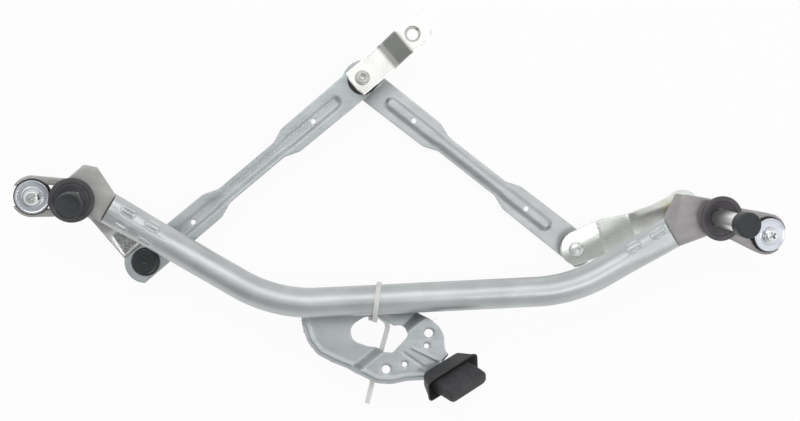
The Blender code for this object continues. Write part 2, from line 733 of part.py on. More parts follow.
def build_bushes(side, pivot, barrel_bottom, material):
    inner = SHAFT_RADIUS + GAP
    outer = inner + BUSH_WALL
    deck = -SEAL_HEIGHT - GAP
    for name, low in (("upper", deck - BUSH_LENGTH), ("lower", barrel_bottom)):
        profile = [(inner, low), (outer, low), (outer, low + BUSH_LENGTH), (inner, low + BUSH_LENGTH)]
        turned(f"{side}_{name}_bush", profile, material, pivot)


def build_mount(side, pivot, ear_centre, ear_top, finishes):
    """The ear's grommet, sleeve, washer and screw."""
    at_ear = Matrix.Translation((ear_centre.x, ear_centre.y, 0))
    washer_low = ear_top - MOUNT_WASHER_THICKNESS
    top, bottom = fork_levels(ear_top)
    groove_top = top + GAP
    groove_low = bottom - GAP
    rubber_low = groove_low - GROMMET_FLANGE
    hole = SLEEVE_RADIUS + GAP
    grommet = [
        (hole, rubber_low),
        (GROMMET_RADIUS - 1 * MM, rubber_low),
        (GROMMET_RADIUS, rubber_low + 0.8 * MM),
        (GROMMET_RADIUS, groove_low),
        (GROMMET_GROOVE_RADIUS, groove_low),
        (GROMMET_GROOVE_RADIUS, groove_top),
        (GROMMET_RADIUS, groove_top),
        (GROMMET_RADIUS, washer_low - GAP - 0.8 * MM),
        (GROMMET_RADIUS - 1 * MM, washer_low - GAP),
        (hole, washer_low - GAP),
    ]
    turned(f"{side}_mount_grommet", grommet, finishes["rubber"], pivot, at_ear)
    sleeve_low = rubber_low - 0.8 * MM
    sleeve = [
        (SLEEVE_BORE_RADIUS, sleeve_low),
        (SLEEVE_RADIUS, sleeve_low),
        (SLEEVE_RADIUS, washer_low - GAP),
        (SLEEVE_BORE_RADIUS, washer_low - GAP),
    ]
    turned(f"{side}_mount_sleeve", sleeve, finishes["zinc"], pivot, at_ear, SMALL_STEPS)
    washer = [
        (SLEEVE_BORE_RADIUS, washer_low),
        (MOUNT_WASHER_RADIUS, washer_low),
        (MOUNT_WASHER_RADIUS, ear_top - 0.3 * MM),
        (MOUNT_WASHER_RADIUS - 0.3 * MM, ear_top),
        (SLEEVE_BORE_RADIUS, ear_top),
    ]
    turned(f"{side}_mount_washer", washer, finishes["zinc"], pivot, at_ear, 20)
    head = ear_top + GAP
    crown = head + SCREW_HEAD_HEIGHT
    screw = [
        (0, head - SCREW_LENGTH),
        (SCREW_RADIUS - 1 * MM, head - SCREW_LENGTH),
        (SCREW_RADIUS, head - SCREW_LENGTH + 1 * MM),
        (SCREW_RADIUS, head),
        (SCREW_HEAD_RADIUS - 0.3 * MM, head),
        (SCREW_HEAD_RADIUS, head + 0.6 * MM),
        (SCREW_HEAD_RADIUS, crown - 2.4 * MM),
        (SCREW_HEAD_RADIUS - 0.9 * MM, crown - 0.9 * MM),
        (SCREW_HEAD_RADIUS - 2.4 * MM, crown - 0.2 * MM),
        (0, crown),
    ]
    made = turned(f"{side}_mount_screw", screw, finishes["zinc"], pivot, at_ear, SMALL_STEPS)
    long = SCREW_CROSS_LENGTH / 2
    thin = SCREW_CROSS_WIDTH / 2
    quarter = [(long, -thin), (long, thin), (thin, thin)]
    cross = []
    for k in range(4):
        spin = Matrix.Rotation(math.pi / 2 * k, 2)
        cross += [tuple(spin @ Vector(point)) for point in quarter]
    cutter = prism(f"{side}_cross", cross, [], crown - SCREW_CROSS_DEPTH, crown + 2 * MM, None, pivot, at_ear)
    boolean(made, cutter, "DIFFERENCE")


def build_arm(side, pivot, barrel_bottom, finishes):
    """What turns with the shaft at its upper end: shaft, cap, thrust washer and clip, and the lower washer."""
    deck = -SEAL_HEIGHT - GAP
    lever_top = barrel_bottom - GAP - WASHER_THICKNESS - GAP
    lever_low = lever_top - LEVER_THICKNESS
    clip_low = deck + GAP + WASHER_THICKNESS + GAP
    clip_top = clip_low + CLIP_THICKNESS
    groove = SHAFT_RADIUS - CLIP_GROOVE_DEPTH
    cone_end = CONE_START + CONE_LENGTH
    thread_end = cone_end + THREAD_LENGTH
    shaft = [
        (0, lever_low - GAP - SHAFT_HEAD_HEIGHT),
        (SHAFT_HEAD_RADIUS - 1.6 * MM, lever_low - GAP - SHAFT_HEAD_HEIGHT),
        (SHAFT_HEAD_RADIUS, lever_low - GAP - 0.8 * MM),
        (SHAFT_HEAD_RADIUS, lever_low - GAP),
        (SHAFT_TAIL_RADIUS, lever_low - GAP),
        (SHAFT_TAIL_RADIUS, lever_top + GAP),
        (SHAFT_RADIUS, lever_top + GAP),
        (SHAFT_RADIUS, clip_low - 0.2 * MM),
        (groove, clip_low - 0.2 * MM),
        (groove, clip_top + 0.2 * MM),
        (SHAFT_RADIUS, clip_top + 0.2 * MM),
        (SHAFT_RADIUS, CONE_START),
        (CONE_TOP_RADIUS, cone_end),
        (THREAD_RADIUS, cone_end),
        (THREAD_RADIUS, thread_end - 0.6 * MM),
        (THREAD_RADIUS - 0.6 * MM, thread_end),
        (0, thread_end),
    ]
    turned(f"{side}_shaft", shaft, finishes["steel"], pivot)

    cap_low = CAP_TOP - CAP_HEIGHT
    skirt = SHAFT_RADIUS + GAP
    hollow = CAP_RADIUS - CAP_WALL
    cap = [
        (skirt, cap_low),
        (CAP_RADIUS - 0.6 * MM, cap_low),
        (CAP_RADIUS, cap_low + 0.6 * MM),
        (CAP_RADIUS, CAP_TOP - 2.2 * MM),
        (CAP_RADIUS - 0.5 * MM, CAP_TOP - 0.9 * MM),
        (CAP_RADIUS - 1.9 * MM, CAP_TOP - 0.15 * MM),
        (CAP_RADIUS * 0.4, CAP_TOP),
        (0, CAP_TOP),
    ]
    room = [
        (0, CAP_TOP - CAP_WALL),
        (hollow, CAP_TOP - CAP_WALL),
        (hollow, cap_low + 1.6 * MM),
        (skirt, cap_low + 1.6 * MM),
    ]
    made = bmesh.new()
    loop = cap + room
    verts = [made.verts.new((radius, 0, height)) for radius, height in loop]
    edges = [made.edges.new((a, b)) for a, b in zip(verts, verts[1:]) if (a, b) != (verts[7], verts[8])]
    edges.append(made.edges.new((verts[-1], verts[0])))
    bmesh.ops.spin(
        made, geom=verts + edges, cent=(0, 0, 0), axis=(0, 0, 1), angle=math.tau, steps=CAP_STEPS
    )
    bmesh.ops.remove_doubles(made, verts=made.verts, dist=1e-6)
    bmesh.ops.recalc_face_normals(made, faces=made.faces)
    place(f"{side}_shaft_cap", made, finishes["plastic"], pivot)

    inner = SHAFT_RADIUS + GAP
    low = deck + GAP
    ring = [
        (inner, low),
        (SEAL_SEAT_RADIUS - 0.8 * MM, low),
        (SEAL_SEAT_RADIUS - 0.8 * MM, low + WASHER_THICKNESS),
        (inner, low + WASHER_THICKNESS),
    ]
    turned(f"{side}_thrust_washer", ring, finishes["plastic"], pivot)
    low = lever_top + GAP
    ring = [
        (inner, low),
        (BARREL_RADIUS - 1 * MM, low),
        (BARREL_RADIUS - 1 * MM, low + WASHER_THICKNESS),
        (inner, low + WASHER_THICKNESS),
    ]
    turned(f"{side}_lower_washer", ring, finishes["plastic"], pivot)
    clip = arc((0, 0), CLIP_OUTER_RADIUS, CLIP_OPENING, 360 - CLIP_OPENING, 14)
    clip += arc((0, 0), groove + GAP, 360 - CLIP_INNER_OPENING, CLIP_INNER_OPENING, 14)
    prism(f"{side}_retaining_clip", clip, [], clip_low, clip_top, finishes["steel"], pivot)
    return lever_top


def build_left_lever(pivot, lever_top, finishes):
    """A pressed lever that steps up from the hub to its ball end."""
    ball = pivot.matrix_local.inverted() @ LEFT_BALL
    length = Vector((ball.x, ball.y)).length
    turn = Matrix.Rotation(math.atan2(ball.y, ball.x), 4, "Z")
    end_top = ball.z - STUD_RISE
    rise = end_top - lever_top

    def height(x, _):
        share = (x - LEFT_LEVER_STEP_START) / (LEFT_LEVER_STEP_END - LEFT_LEVER_STEP_START)
        return rise * min(1.0, max(0.0, share))

    outline = arc((0, 0), LEFT_HUB_RADIUS, 50, 310, 18)
    outline += [(26 * MM, -LEFT_LEVER_WAIST), (54 * MM, -LEFT_LEVER_WAIST - 2 * MM)]
    outline += arc((length, 0), LEFT_LEVER_END_RADIUS, -105, 105, 16)
    outline += [(54 * MM, LEFT_LEVER_WAIST + 2 * MM), (26 * MM, LEFT_LEVER_WAIST)]
    holes = [
        circle((0, 0), SHAFT_TAIL_RADIUS + GAP, ROUND_STEPS),
        circle((length, 0), STUD_SHANK_RADIUS + GAP, SMALL_STEPS),
    ]
    far = LEFT_LEVER_END_RADIUS + 2 * MM
    creases = [[(x, -far), (x, far)] for x in (LEFT_LEVER_STEP_START, LEFT_LEVER_STEP_END)]
    lift = Matrix.Translation((0, 0, lever_top))
    pressed(
        "left_lever", outline, holes, creases, height, LEVER_THICKNESS, finishes["zinc"], pivot, lift @ turn
    )
    seat = STUD_RISE
    stud = stud_profile(seat, LEVER_THICKNESS)
    place_stud = Matrix.Translation(ball)
    turned("left_ball_stud", stud, finishes["steel"], pivot, place_stud, BALL_STEPS)


def stud_profile(seat, plate):
    """A ball with its collar on a plate whose face is this far below, riveted over on the plate's far side."""
    top = -seat
    low = top - plate
    head = low - GAP
    collar = top + GAP
    return [
        (0, head - STUD_HEAD_HEIGHT),
        (STUD_HEAD_RADIUS * 0.45, head - STUD_HEAD_HEIGHT * 0.94),
        (STUD_HEAD_RADIUS * 0.80, head - STUD_HEAD_HEIGHT * 0.66),
        (STUD_HEAD_RADIUS, head - STUD_HEAD_HEIGHT * 0.2),
        (STUD_HEAD_RADIUS, head),
        (STUD_SHANK_RADIUS, head),
        (STUD_SHANK_RADIUS, collar),
        (STUD_COLLAR_RADIUS, collar),
        (STUD_COLLAR_RADIUS, collar + 1.2 * MM),
        (STUD_NECK_RADIUS, collar + 1.8 * MM),
    ] + ball_arc(BALL_RADIUS, 0, -math.degrees(math.acos(STUD_NECK_RADIUS / BALL_RADIUS)), 90, 6)[:-1] + [
        (0, BALL_RADIUS)
    ]


def build_right_lever(pivot, lever_top, finishes):
    """A flat pressed lever with two gentle bends, its ball stud hanging below the far end."""
    ball = pivot.matrix_local.inverted() @ RIGHT_BALL
    angle = math.atan2(ball.y, ball.x)
    turn = Matrix.Rotation(angle, 4, "Z")
    first, second, slope = RIGHT_LEVER_FIRST_BEND, RIGHT_LEVER_SECOND_BEND, RIGHT_LEVER_SLOPE
    length = Vector((ball.x, ball.y)).length

    def height(x, _):
        middle = max(0.0, min(x, second) - first) * slope / 2
        end = max(0.0, x - second) * slope
        return -(middle + end)

    hub = arc((0, 0), RIGHT_HUB_RADIUS, 78, 296, 18)
    lower = [
        (27 * MM, -12.8 * MM, 8 * MM),
        (58 * MM, -15.4 * MM, 12 * MM),
        (84 * MM, -17.8 * MM, 10 * MM),
    ]
    end = arc((length, 0), RIGHT_LEVER_END_RADIUS, -78, 66, 12)
    upper = [
        (83 * MM, 14.6 * MM, 12 * MM),
        (48 * MM, 12.6 * MM, 16 * MM),
        (26 * MM, 14.8 * MM, 10 * MM),
    ]
    outline = rounded(
        [(x, y, 0) for x, y in hub] + lower + [(x, y, 0) for x, y in end] + upper
    )
    zone_axis = Vector((slope, 0, 1)).normalized()
    drop = zone_axis * STUD_DROP
    seat = Vector((length, 0, ball.z - lever_top)) + drop
    holes = [
        circle((0, 0), SHAFT_TAIL_RADIUS + GAP, ROUND_STEPS),
        circle((seat.x, seat.y), STUD_SHANK_RADIUS + GAP, SMALL_STEPS),
    ]
    far = RIGHT_LEVER_END_RADIUS + 4 * MM
    creases = [[(x, -far), (x, far)] for x in (first, second)]
    lift = Matrix.Translation((0, 0, lever_top))
    pressed(
        "right_lever", outline, holes, creases, height, LEVER_THICKNESS, finishes["zinc"], pivot, lift @ turn
    )
    down = frame_along(turn.to_3x3() @ -zone_axis, Vector((1, 0, 0)), ball)
    stud = stud_profile(STUD_DROP - LEVER_THICKNESS, LEVER_THICKNESS)
    turned("right_ball_stud", stud, finishes["steel"], pivot, down, BALL_STEPS)
    return seat


def socket_profile(flange, cavity, closed_top, mouth):
    """A moulded socket about its ball centre, gripping a link plate whose middle is at the ball's height."""
    half = LINK_THICKNESS / 2 + GAP
    upper = half + SOCKET_FLANGE
    lower = -half - SOCKET_FLANGE
    open_low = -SOCKET_OPEN_REACH
    tilt = math.degrees(math.acos(mouth / cavity))
    profile = [
        (mouth, open_low),
        (SOCKET_LOWER_RADIUS - 1.5 * MM, open_low),
        (SOCKET_LOWER_RADIUS, lower - 0.4 * MM),
        (SOCKET_LOWER_RADIUS, -half),
        (SOCKET_GROOVE_RADIUS, -half),
        (SOCKET_GROOVE_RADIUS, half),
        (flange, half),
        (flange, upper - 0.5 * MM),
        (flange - 0.6 * MM, upper),
    ]
    if closed_top:
        top = SOCKET_CLOSED_REACH
        profile += [
            (SOCKET_GROOVE_RADIUS - 0.3 * MM, top - 1.2 * MM),
            (SOCKET_GROOVE_RADIUS - 1.6 * MM, top),
            (3.2 * MM, top),
            (0, top - 0.9 * MM),
        ]
        profile += [(0, cavity)] + ball_arc(cavity, 0, 72, -tilt, 5)
    else:
        profile += [
            (SOCKET_GROOVE_RADIUS - 0.5 * MM, upper + 0.4 * MM),
            (SOCKET_GROOVE_RADIUS - 1.2 * MM, SOCKET_OPEN_REACH),
            (mouth, SOCKET_OPEN_REACH),
        ]
        profile += ball_arc(cavity, 0, tilt, -tilt, 4)
    return profile


def open_profile(profile, closed_top):
    """The profile's points in order, split where it touches the axis twice."""
    if not closed_top:
        return [profile]
    split = next(i for i, (radius, _) in enumerate(profile) if radius == 0)
    return [profile[: split + 1], profile[split + 1 :]]


def socket(name, flange, cavity, closed_top, mouth, material, parent, matrix):
    profile = socket_profile(flange, cavity, closed_top, mouth)
    parts = open_profile(profile, closed_top)
    bm = bmesh.new()
    verts = []
    edges = []
    for part in parts:
        row = [bm.verts.new((radius, 0, height)) for radius, height in part]
        edges += [bm.edges.new(pair) for pair in zip(row, row[1:])]
        verts.append(row)
    edges.append(bm.edges.new((verts[-1][-1], verts[0][0])))
    geom = [v for row in verts for v in row] + edges
    bmesh.ops.spin(bm, geom=geom, cent=(0, 0, 0), axis=(0, 0, 1), angle=math.tau, steps=ROUND_STEPS)
    bmesh.ops.remove_doubles(bm, verts=bm.verts, dist=1e-6)
    bmesh.ops.recalc_face_normals(bm, faces=bm.faces)
    return place(name, bm, material, parent, matrix)


def build_link(name, length, near_reach, far_reach, depth, far_groove, material, parent):
    """A pressed strip with round ends, a narrow waist and a long bead. X runs from one ball to the other."""
    corner = math.sqrt(LINK_END_RADIUS**2 - LINK_END_HALF**2)
    sweep = math.degrees(math.asin(LINK_END_HALF / LINK_END_RADIUS))
    bend = LINK_CORNER_RADIUS
    upper = [
        (near_reach, LINK_WIDE_HALF, bend),
        (near_reach + LINK_WAIST_RAMP, LINK_NARROW_HALF, bend),
        (length - far_reach - LINK_WAIST_RAMP, LINK_NARROW_HALF, bend),
        (length - far_reach, LINK_WIDE_HALF, bend),
    ]
    lower = [(x, -y, r) for x, y, r in reversed(upper)]
    left_end = arc((0, 0), LINK_END_RADIUS, 180 + sweep, 180 - sweep, 6)
    right_end = arc((length, 0), LINK_END_RADIUS, sweep, -sweep, 6)
    corners = [(x, y, 0) for x, y in left_end] + upper + [(x, y, 0) for x, y in right_end] + lower
    outline = rounded(corners)
    start, end = BEAD_START + BEAD_HALF_WIDTH, length - BEAD_START - BEAD_HALF_WIDTH

    def height(x, y):
        from_spine = math.hypot(x - min(max(x, start), end), y)
        share = (BEAD_HALF_WIDTH - from_spine) / (BEAD_HALF_WIDTH - BEAD_FLOOR_HALF_WIDTH)
        share = min(1.0, max(0.0, share))
        return LINK_THICKNESS / 2 + depth * share * share * (3 - 2 * share)

    creases = []
    for k in range(3):
        radius = BEAD_FLOOR_HALF_WIDTH + (BEAD_HALF_WIDTH - BEAD_FLOOR_HALF_WIDTH) * k / 2
        middle = (start + end) / 2
        loop = capsule(end - start + 2 * radius, 2 * radius)
        loop = [(x + middle, y) for x, y in loop]
        creases.append(loop + loop[:1])
    clear = GAP + 0.15 * MM
    holes = [
        circle((0, 0), SOCKET_GROOVE_RADIUS + clear, ROUND_STEPS),
        circle((length, 0), far_groove + clear, ROUND_STEPS),
        circle((LINK_HOLE_NEAR, 0), LINK_HOLE_RADIUS, 12),
        circle((length - LINK_HOLE_FAR, 0), LINK_HOLE_RADIUS, 12),
    ]
    return pressed(name, outline, holes, creases, height, LINK_THICKNESS, material, parent)


def build_links(linkage, finishes):
    pin = CRANK_PIN
    upper_ball = Vector((pin.x, pin.y, UPPER_BALL_HEIGHT))
    lower_ball = Vector((pin.x, pin.y, LOWER_BALL_HEIGHT))
    up = Vector((0, 0, 1))
    grip = BALL_RADIUS + BALL_PLAY
    snap = BALL_RADIUS * 0.78
    left = empty("left_link_joint", linkage, frame_along(up, upper_ball - LEFT_BALL, LEFT_BALL))
    reach = (upper_ball - LEFT_BALL).length
    build_link(
        "left_link", reach, LEFT_LINK_WIDE_REACH, LEFT_LINK_FAR_REACH, -BEAD_DEPTH,
        SOCKET_GROOVE_RADIUS, finishes["sheet"], left,
    )
    plastic = finishes["plastic"]
    socket("left_link_outer_socket", SOCKET_FLANGE_RADIUS, grip, True, snap, plastic, left, None)
    far = Matrix.Translation((reach, 0, 0))
    socket("left_link_inner_socket", SOCKET_WIDE_FLANGE_RADIUS, grip, False, snap, plastic, left, far)

    right = empty("right_link_joint", linkage, frame_along(up, lower_ball - RIGHT_BALL, RIGHT_BALL))
    reach = (lower_ball - RIGHT_BALL).length
    build_link(
        "right_link", reach, RIGHT_LINK_WIDE_REACH, RIGHT_LINK_FAR_REACH, BEAD_DEPTH,
        OPEN_SOCKET_GROOVE_RADIUS, finishes["sheet"], right,
    )
    flip = Matrix.Rotation(math.pi, 4, "X")
    socket("right_link_outer_socket", SOCKET_FLANGE_RADIUS, grip, True, snap, plastic, right, flip)
    far = Matrix.Translation((reach, 0, 0)) @ flip
    open_socket("right_link_inner_socket", plastic, right, far)


def open_socket(name, material, parent, matrix):
    """The socket whose ball has room to move, with its closed end along +Z."""
    room = BALL_RADIUS + OPEN_PIVOT_CLEARANCE
    groove = OPEN_SOCKET_GROOVE_RADIUS
    mouth = STUD_NECK_RADIUS + OPEN_PIVOT_CLEARANCE + 0.3 * MM
    half = LINK_THICKNESS / 2 + GAP
    low = -(BALL_RADIUS + 0.5 * MM)
    top = BALL_RADIUS + 2.8 * MM
    inner = [
        (0, BALL_RADIUS + 1.2 * MM),
        (room - 2.5 * MM, BALL_RADIUS + 1.2 * MM),
        (room, BALL_RADIUS - 1.5 * MM),
        (room, -3.8 * MM),
        (room - 1.0 * MM, -5.3 * MM),
        (mouth, low + 1.2 * MM),
        (mouth, low),
    ]
    outer = [
        (groove - 0.8 * MM, low),
        (groove + 1.4 * MM, -half - SOCKET_FLANGE),
        (groove + 1.4 * MM, -half),
        (groove, -half),
        (groove, half),
        (OPEN_SOCKET_FLANGE_RADIUS, half),
        (OPEN_SOCKET_FLANGE_RADIUS, half + SOCKET_FLANGE),
        (groove - 1.4 * MM, top),
        (0, top),
    ]
    bm = bmesh.new()
    row = [bm.verts.new((radius, 0, height)) for radius, height in inner + outer]
    edges = [bm.edges.new(pair) for pair in zip(row, row[1:])]
    bmesh.ops.spin(bm, geom=row + edges, cent=(0, 0, 0), axis=(0, 0, 1), angle=math.tau, steps=ROUND_STEPS)
    bmesh.ops.remove_doubles(bm, verts=bm.verts, dist=1e-6)
    bmesh.ops.recalc_face_normals(bm, faces=bm.faces)
    return place(name, bm, material, parent, matrix)


def build_crank(linkage, finishes):
    """The crank arm with its step and tapered hole, and the stud with two balls riveted in its pin end."""
    way = Vector((math.cos(CRANK_ANGLE), math.sin(CRANK_ANGLE), 0))
    pin = Vector((CRANK_PIN.x, CRANK_PIN.y, CRANK_PIN_TOP))
    crank = empty("crank_joint", linkage, frame_along(Vector((0, 0, 1)), way, pin))

    def height(x, _):
        share = (x - CRANK_STEP_START) / (CRANK_STEP_END - CRANK_STEP_START)
        return CRANK_STEP * min(1.0, max(0.0, share))

    half = CRANK_HALF_WIDTH
    far = CRANK_LENGTH + CRANK_FAR_END
    outline = rounded([
        (-CRANK_PIN_END - 1.2 * MM, 0, 0),
        (-CRANK_PIN_END, -half, 1 * MM),
        (far - CRANK_CLIP, -half, 1.5 * MM),
        (far, -half + CRANK_CLIP, 1.5 * MM),
        (far, half - CRANK_CLIP, 1.5 * MM),
        (far - CRANK_CLIP, half, 1.5 * MM),
        (-CRANK_PIN_END, half, 1 * MM),
    ])
    holes = [circle((0, 0), STUD_SHANK_RADIUS + GAP, SMALL_STEPS)]
    wide = half + 2 * MM
    creases = [[(x, -wide), (x, wide)] for x in (CRANK_STEP_START, CRANK_STEP_END)]
    arm = pressed(
        "crank_arm", outline, holes, creases, height, CRANK_THICKNESS, finishes["zinc"], crank
    )
    over = 1 * MM
    spread = (CRANK_HOLE_TOP_RADIUS - CRANK_HOLE_BOTTOM_RADIUS) / CRANK_THICKNESS * over
    taper = [
        (0, CRANK_STEP - CRANK_THICKNESS - over),
        (CRANK_HOLE_BOTTOM_RADIUS - spread, CRANK_STEP - CRANK_THICKNESS - over),
        (CRANK_HOLE_TOP_RADIUS + spread, CRANK_STEP + over),
        (0, CRANK_STEP + over),
    ]
    hole = turned("crank_taper", taper, None, crank, Matrix.Translation((CRANK_LENGTH, 0, 0)))
    boolean(arm, hole, "DIFFERENCE")

    upper = UPPER_BALL_HEIGHT - CRANK_PIN_TOP
    lower = LOWER_BALL_HEIGHT - CRANK_PIN_TOP
    head = GAP
    under = -CRANK_THICKNESS - GAP
    neck = math.degrees(math.acos(STUD_NECK_RADIUS / BALL_RADIUS))
    profile = [(0, lower - BALL_RADIUS)]
    profile += ball_arc(BALL_RADIUS, lower, -90, neck, 6)[1:]
    profile += ball_arc(BALL_RADIUS, upper, -neck, neck, 5)
    profile += [
        (STUD_NECK_RADIUS, under - 1.6 * MM),
        (STUD_COLLAR_RADIUS, under - 1.2 * MM),
        (STUD_COLLAR_RADIUS, under),
        (STUD_SHANK_RADIUS, under),
        (STUD_SHANK_RADIUS, head),
        (STUD_HEAD_RADIUS, head),
        (STUD_HEAD_RADIUS, head + STUD_HEAD_HEIGHT * 0.25),
        (STUD_HEAD_RADIUS * 0.84, head + STUD_HEAD_HEIGHT * 0.66),
        (STUD_HEAD_RADIUS * 0.45, head + STUD_HEAD_HEIGHT * 0.94),
        (0, head + STUD_HEAD_HEIGHT),
    ]
    turned("crank_ball_stud", profile, finishes["steel"], crank, steps=BALL_STEPS)


def tube_line_y(x):
    """The centreline's Y along the middle run and into the start of the left bend."""
    run = TUBE_RIGHT_BEND - TUBE_LEFT_BEND
    back = TUBE_START - TUBE_LEFT_BEND
    tangent = TUBE_BEND_RADIUS / math.tan(back.angle(run) / 2)
    into_bend = max(0.0, TUBE_LEFT_BEND.x + tangent - x)
    line = TUBE_LEFT_BEND.y + (x - TUBE_LEFT_BEND.x) * run.y / run.x
    return line + into_bend**2 / (2 * TUBE_BEND_RADIUS)


def distance_to_line(point, line):
    """Distance from a point to an open run of straight pieces."""
    best = math.inf
    here = Vector(point)
    for a, b in zip(line, line[1:]):
        start, run = Vector(a), Vector(b) - Vector(a)
        share = min(1.0, max(0.0, (here - start).dot(run) / run.length_squared))
        best = min(best, (start + run * share - here).length)
    return best


def offset_line(line, distance):
    """An open run of points moved to its left by a distance."""
    moved = []
    for i, point in enumerate(line):
        before = Vector(line[max(i - 1, 0)])
        after = Vector(line[min(i + 1, len(line) - 1)])
        way = (after - before).normalized()
        moved.append(tuple(Vector(point) + Vector((-way.y, way.x)) * distance))
    return moved


def build_plate(linkage, finishes):
    """The pressed motor plate: cradle under the tube, joggle up to the motor seat, rim and tongue."""
    joggle_way = Vector((math.cos(JOGGLE_ANGLE), math.sin(JOGGLE_ANGLE)))
    joggle_side = Vector((joggle_way.y, -joggle_way.x))
    rise = SEAT_HEIGHT - PLATE_LOW
    left_top = Vector((-88 * MM, tube_line_y(-88 * MM) + CRADLE_REACH))
    right_top = Vector((2 * MM, tube_line_y(2 * MM) + CRADLE_REACH))
    rim = rounded([
        (-84.0 * MM, 9.0 * MM, 0),
        (-80.1 * MM, -3.1 * MM, 20 * MM),
        (-70.7 * MM, -13.9 * MM, 16 * MM),
        (-57.3 * MM, -21.9 * MM, 20 * MM),
        (-40.0 * MM, -30.0 * MM, 20 * MM),
        (-18.0 * MM, -40.8 * MM, 18 * MM),
        (-4.0 * MM, -41.2 * MM, 16 * MM),
        (9.5 * MM, -38.3 * MM, 16 * MM),
        (24.0 * MM, -37.8 * MM, 0),
    ], 2)[1:-1]
    rim = [(-84.0 * MM, 9.0 * MM)] + rim + [(24.0 * MM, -37.8 * MM)]
    tongue_way = Vector((FOOT_AXIS.x, FOOT_AXIS.y)).normalized()
    tongue_side = Vector((-tongue_way.y, tongue_way.x))
    root = FOOT_TONGUE_ROOT
    tip = root + tongue_way * FOOT_TONGUE_LENGTH
    half = FOOT_TONGUE_HALF
    corners = [(*(root - tongue_side * half), 1.5 * MM)]
    corners.append((*(tip - tongue_side * half), 3 * MM))
    corners.append((*(tip + tongue_side * half), 3 * MM))
    corners.append((*(root + tongue_side * half), 1.5 * MM))
    seat_edge = [
        (45.6 * MM, -13.4 * MM, 2 * MM),
        (43.4 * MM, -7.9 * MM, 8 * MM),
        (42.8 * MM, 2.9 * MM, 10 * MM),
        (38.8 * MM, 10.9 * MM, 12 * MM),
        (29.4 * MM, 18.8 * MM, 12 * MM),
        (17.4 * MM, 24.3 * MM, 6 * MM),
        (12.0 * MM, 23.4 * MM, 0),
    ]
    back = [(*right_top, 0), (*left_top, 6 * MM)]
    outline = rim + rounded([(*rim[-1], 0)] + corners + seat_edge + back + [(*rim[0], 0)])[1:-1]

    def height(x, y):
        across = (Vector((x, y)) - JOGGLE_POINT).dot(joggle_side)
        share = min(1.0, max(0.0, across / JOGGLE_WIDTH))
        level = PLATE_LOW + rise * share
        past = y - tube_line_y(x)
        clear = TUBE_RADIUS + GAP
        if past > 0:
            level = max(level, -math.sqrt(max(clear**2 - past**2, 0)))
        edge = distance_to_line((x, y), rim)
        if edge < RIM_WIDTH:
            level -= RIM_DROP * (1 - edge / RIM_WIDTH)
        beyond = (Vector((x, y)) - root).dot(tongue_way)
        if beyond > 0:
            level += beyond * FOOT_AXIS.z / math.hypot(FOOT_AXIS.x, FOOT_AXIS.y)
        return level

    creases = []
    long = 200 * MM
    for k in range(2):
        base = JOGGLE_POINT + joggle_side * JOGGLE_WIDTH * k
        creases.append([tuple(base - joggle_way * long), tuple(base + joggle_way * long)])
    for past in (0, CRADLE_REACH * 0.4, CRADLE_REACH * 0.75):
        creases.append([(x, tube_line_y(x) + past) for x in (-95 * MM, 25 * MM)])
    creases.append(offset_line(rim, RIM_WIDTH))
    creases.append([tuple(root - tongue_side * 25 * MM), tuple(root + tongue_side * 25 * MM)])

    lobes = rounded([
        (-2.6 * MM, 11.4 * MM, 1.5 * MM),
        (6.3 * MM, 12.4 * MM, 6 * MM),
        (10.6 * MM, 3.0 * MM, 4 * MM),
        (-3.6 * MM, -12.4 * MM, 3 * MM),
        (-10.4 * MM, -12.0 * MM, 3.5 * MM),
        (-18.5 * MM, -7.9 * MM, 3 * MM),
        (-27.0 * MM, -7.3 * MM, 5 * MM),
        (-40.5 * MM, -2.4 * MM, 9 * MM),
        (-43.0 * MM, 10.5 * MM, 9 * MM),
        (-29.5 * MM, 19.8 * MM, 14 * MM),
        (-16.6 * MM, 19.9 * MM, 6 * MM),
    ])
    bolts = [
        (-9.8 * MM, -27.6 * MM, BOLT_HOLE_RADIUS),
        (28.8 * MM, 5.3 * MM, BOLT_HOLE_RADIUS),
        (6.9 * MM, -23.0 * MM, SMALL_HOLE_RADIUS),
        (26.8 * MM, -6.3 * MM, SMALL_HOLE_RADIUS),
    ]
    holes = [lobes] + [circle((x, y), radius, 12) for x, y, radius in bolts]
    pressed(
        "motor_plate", outline, holes, creases, height, PLATE_THICKNESS, finishes["sheet"], linkage
    )


def rectangle_loop(half_long, half_short, corner, height):
    corners = [
        (half_long, -half_short, corner),
        (half_long, half_short, corner),
        (-half_long, half_short, corner),
        (-half_long, -half_short, corner),
    ]
    return [(x, y, height) for x, y in rounded(corners, 4)]


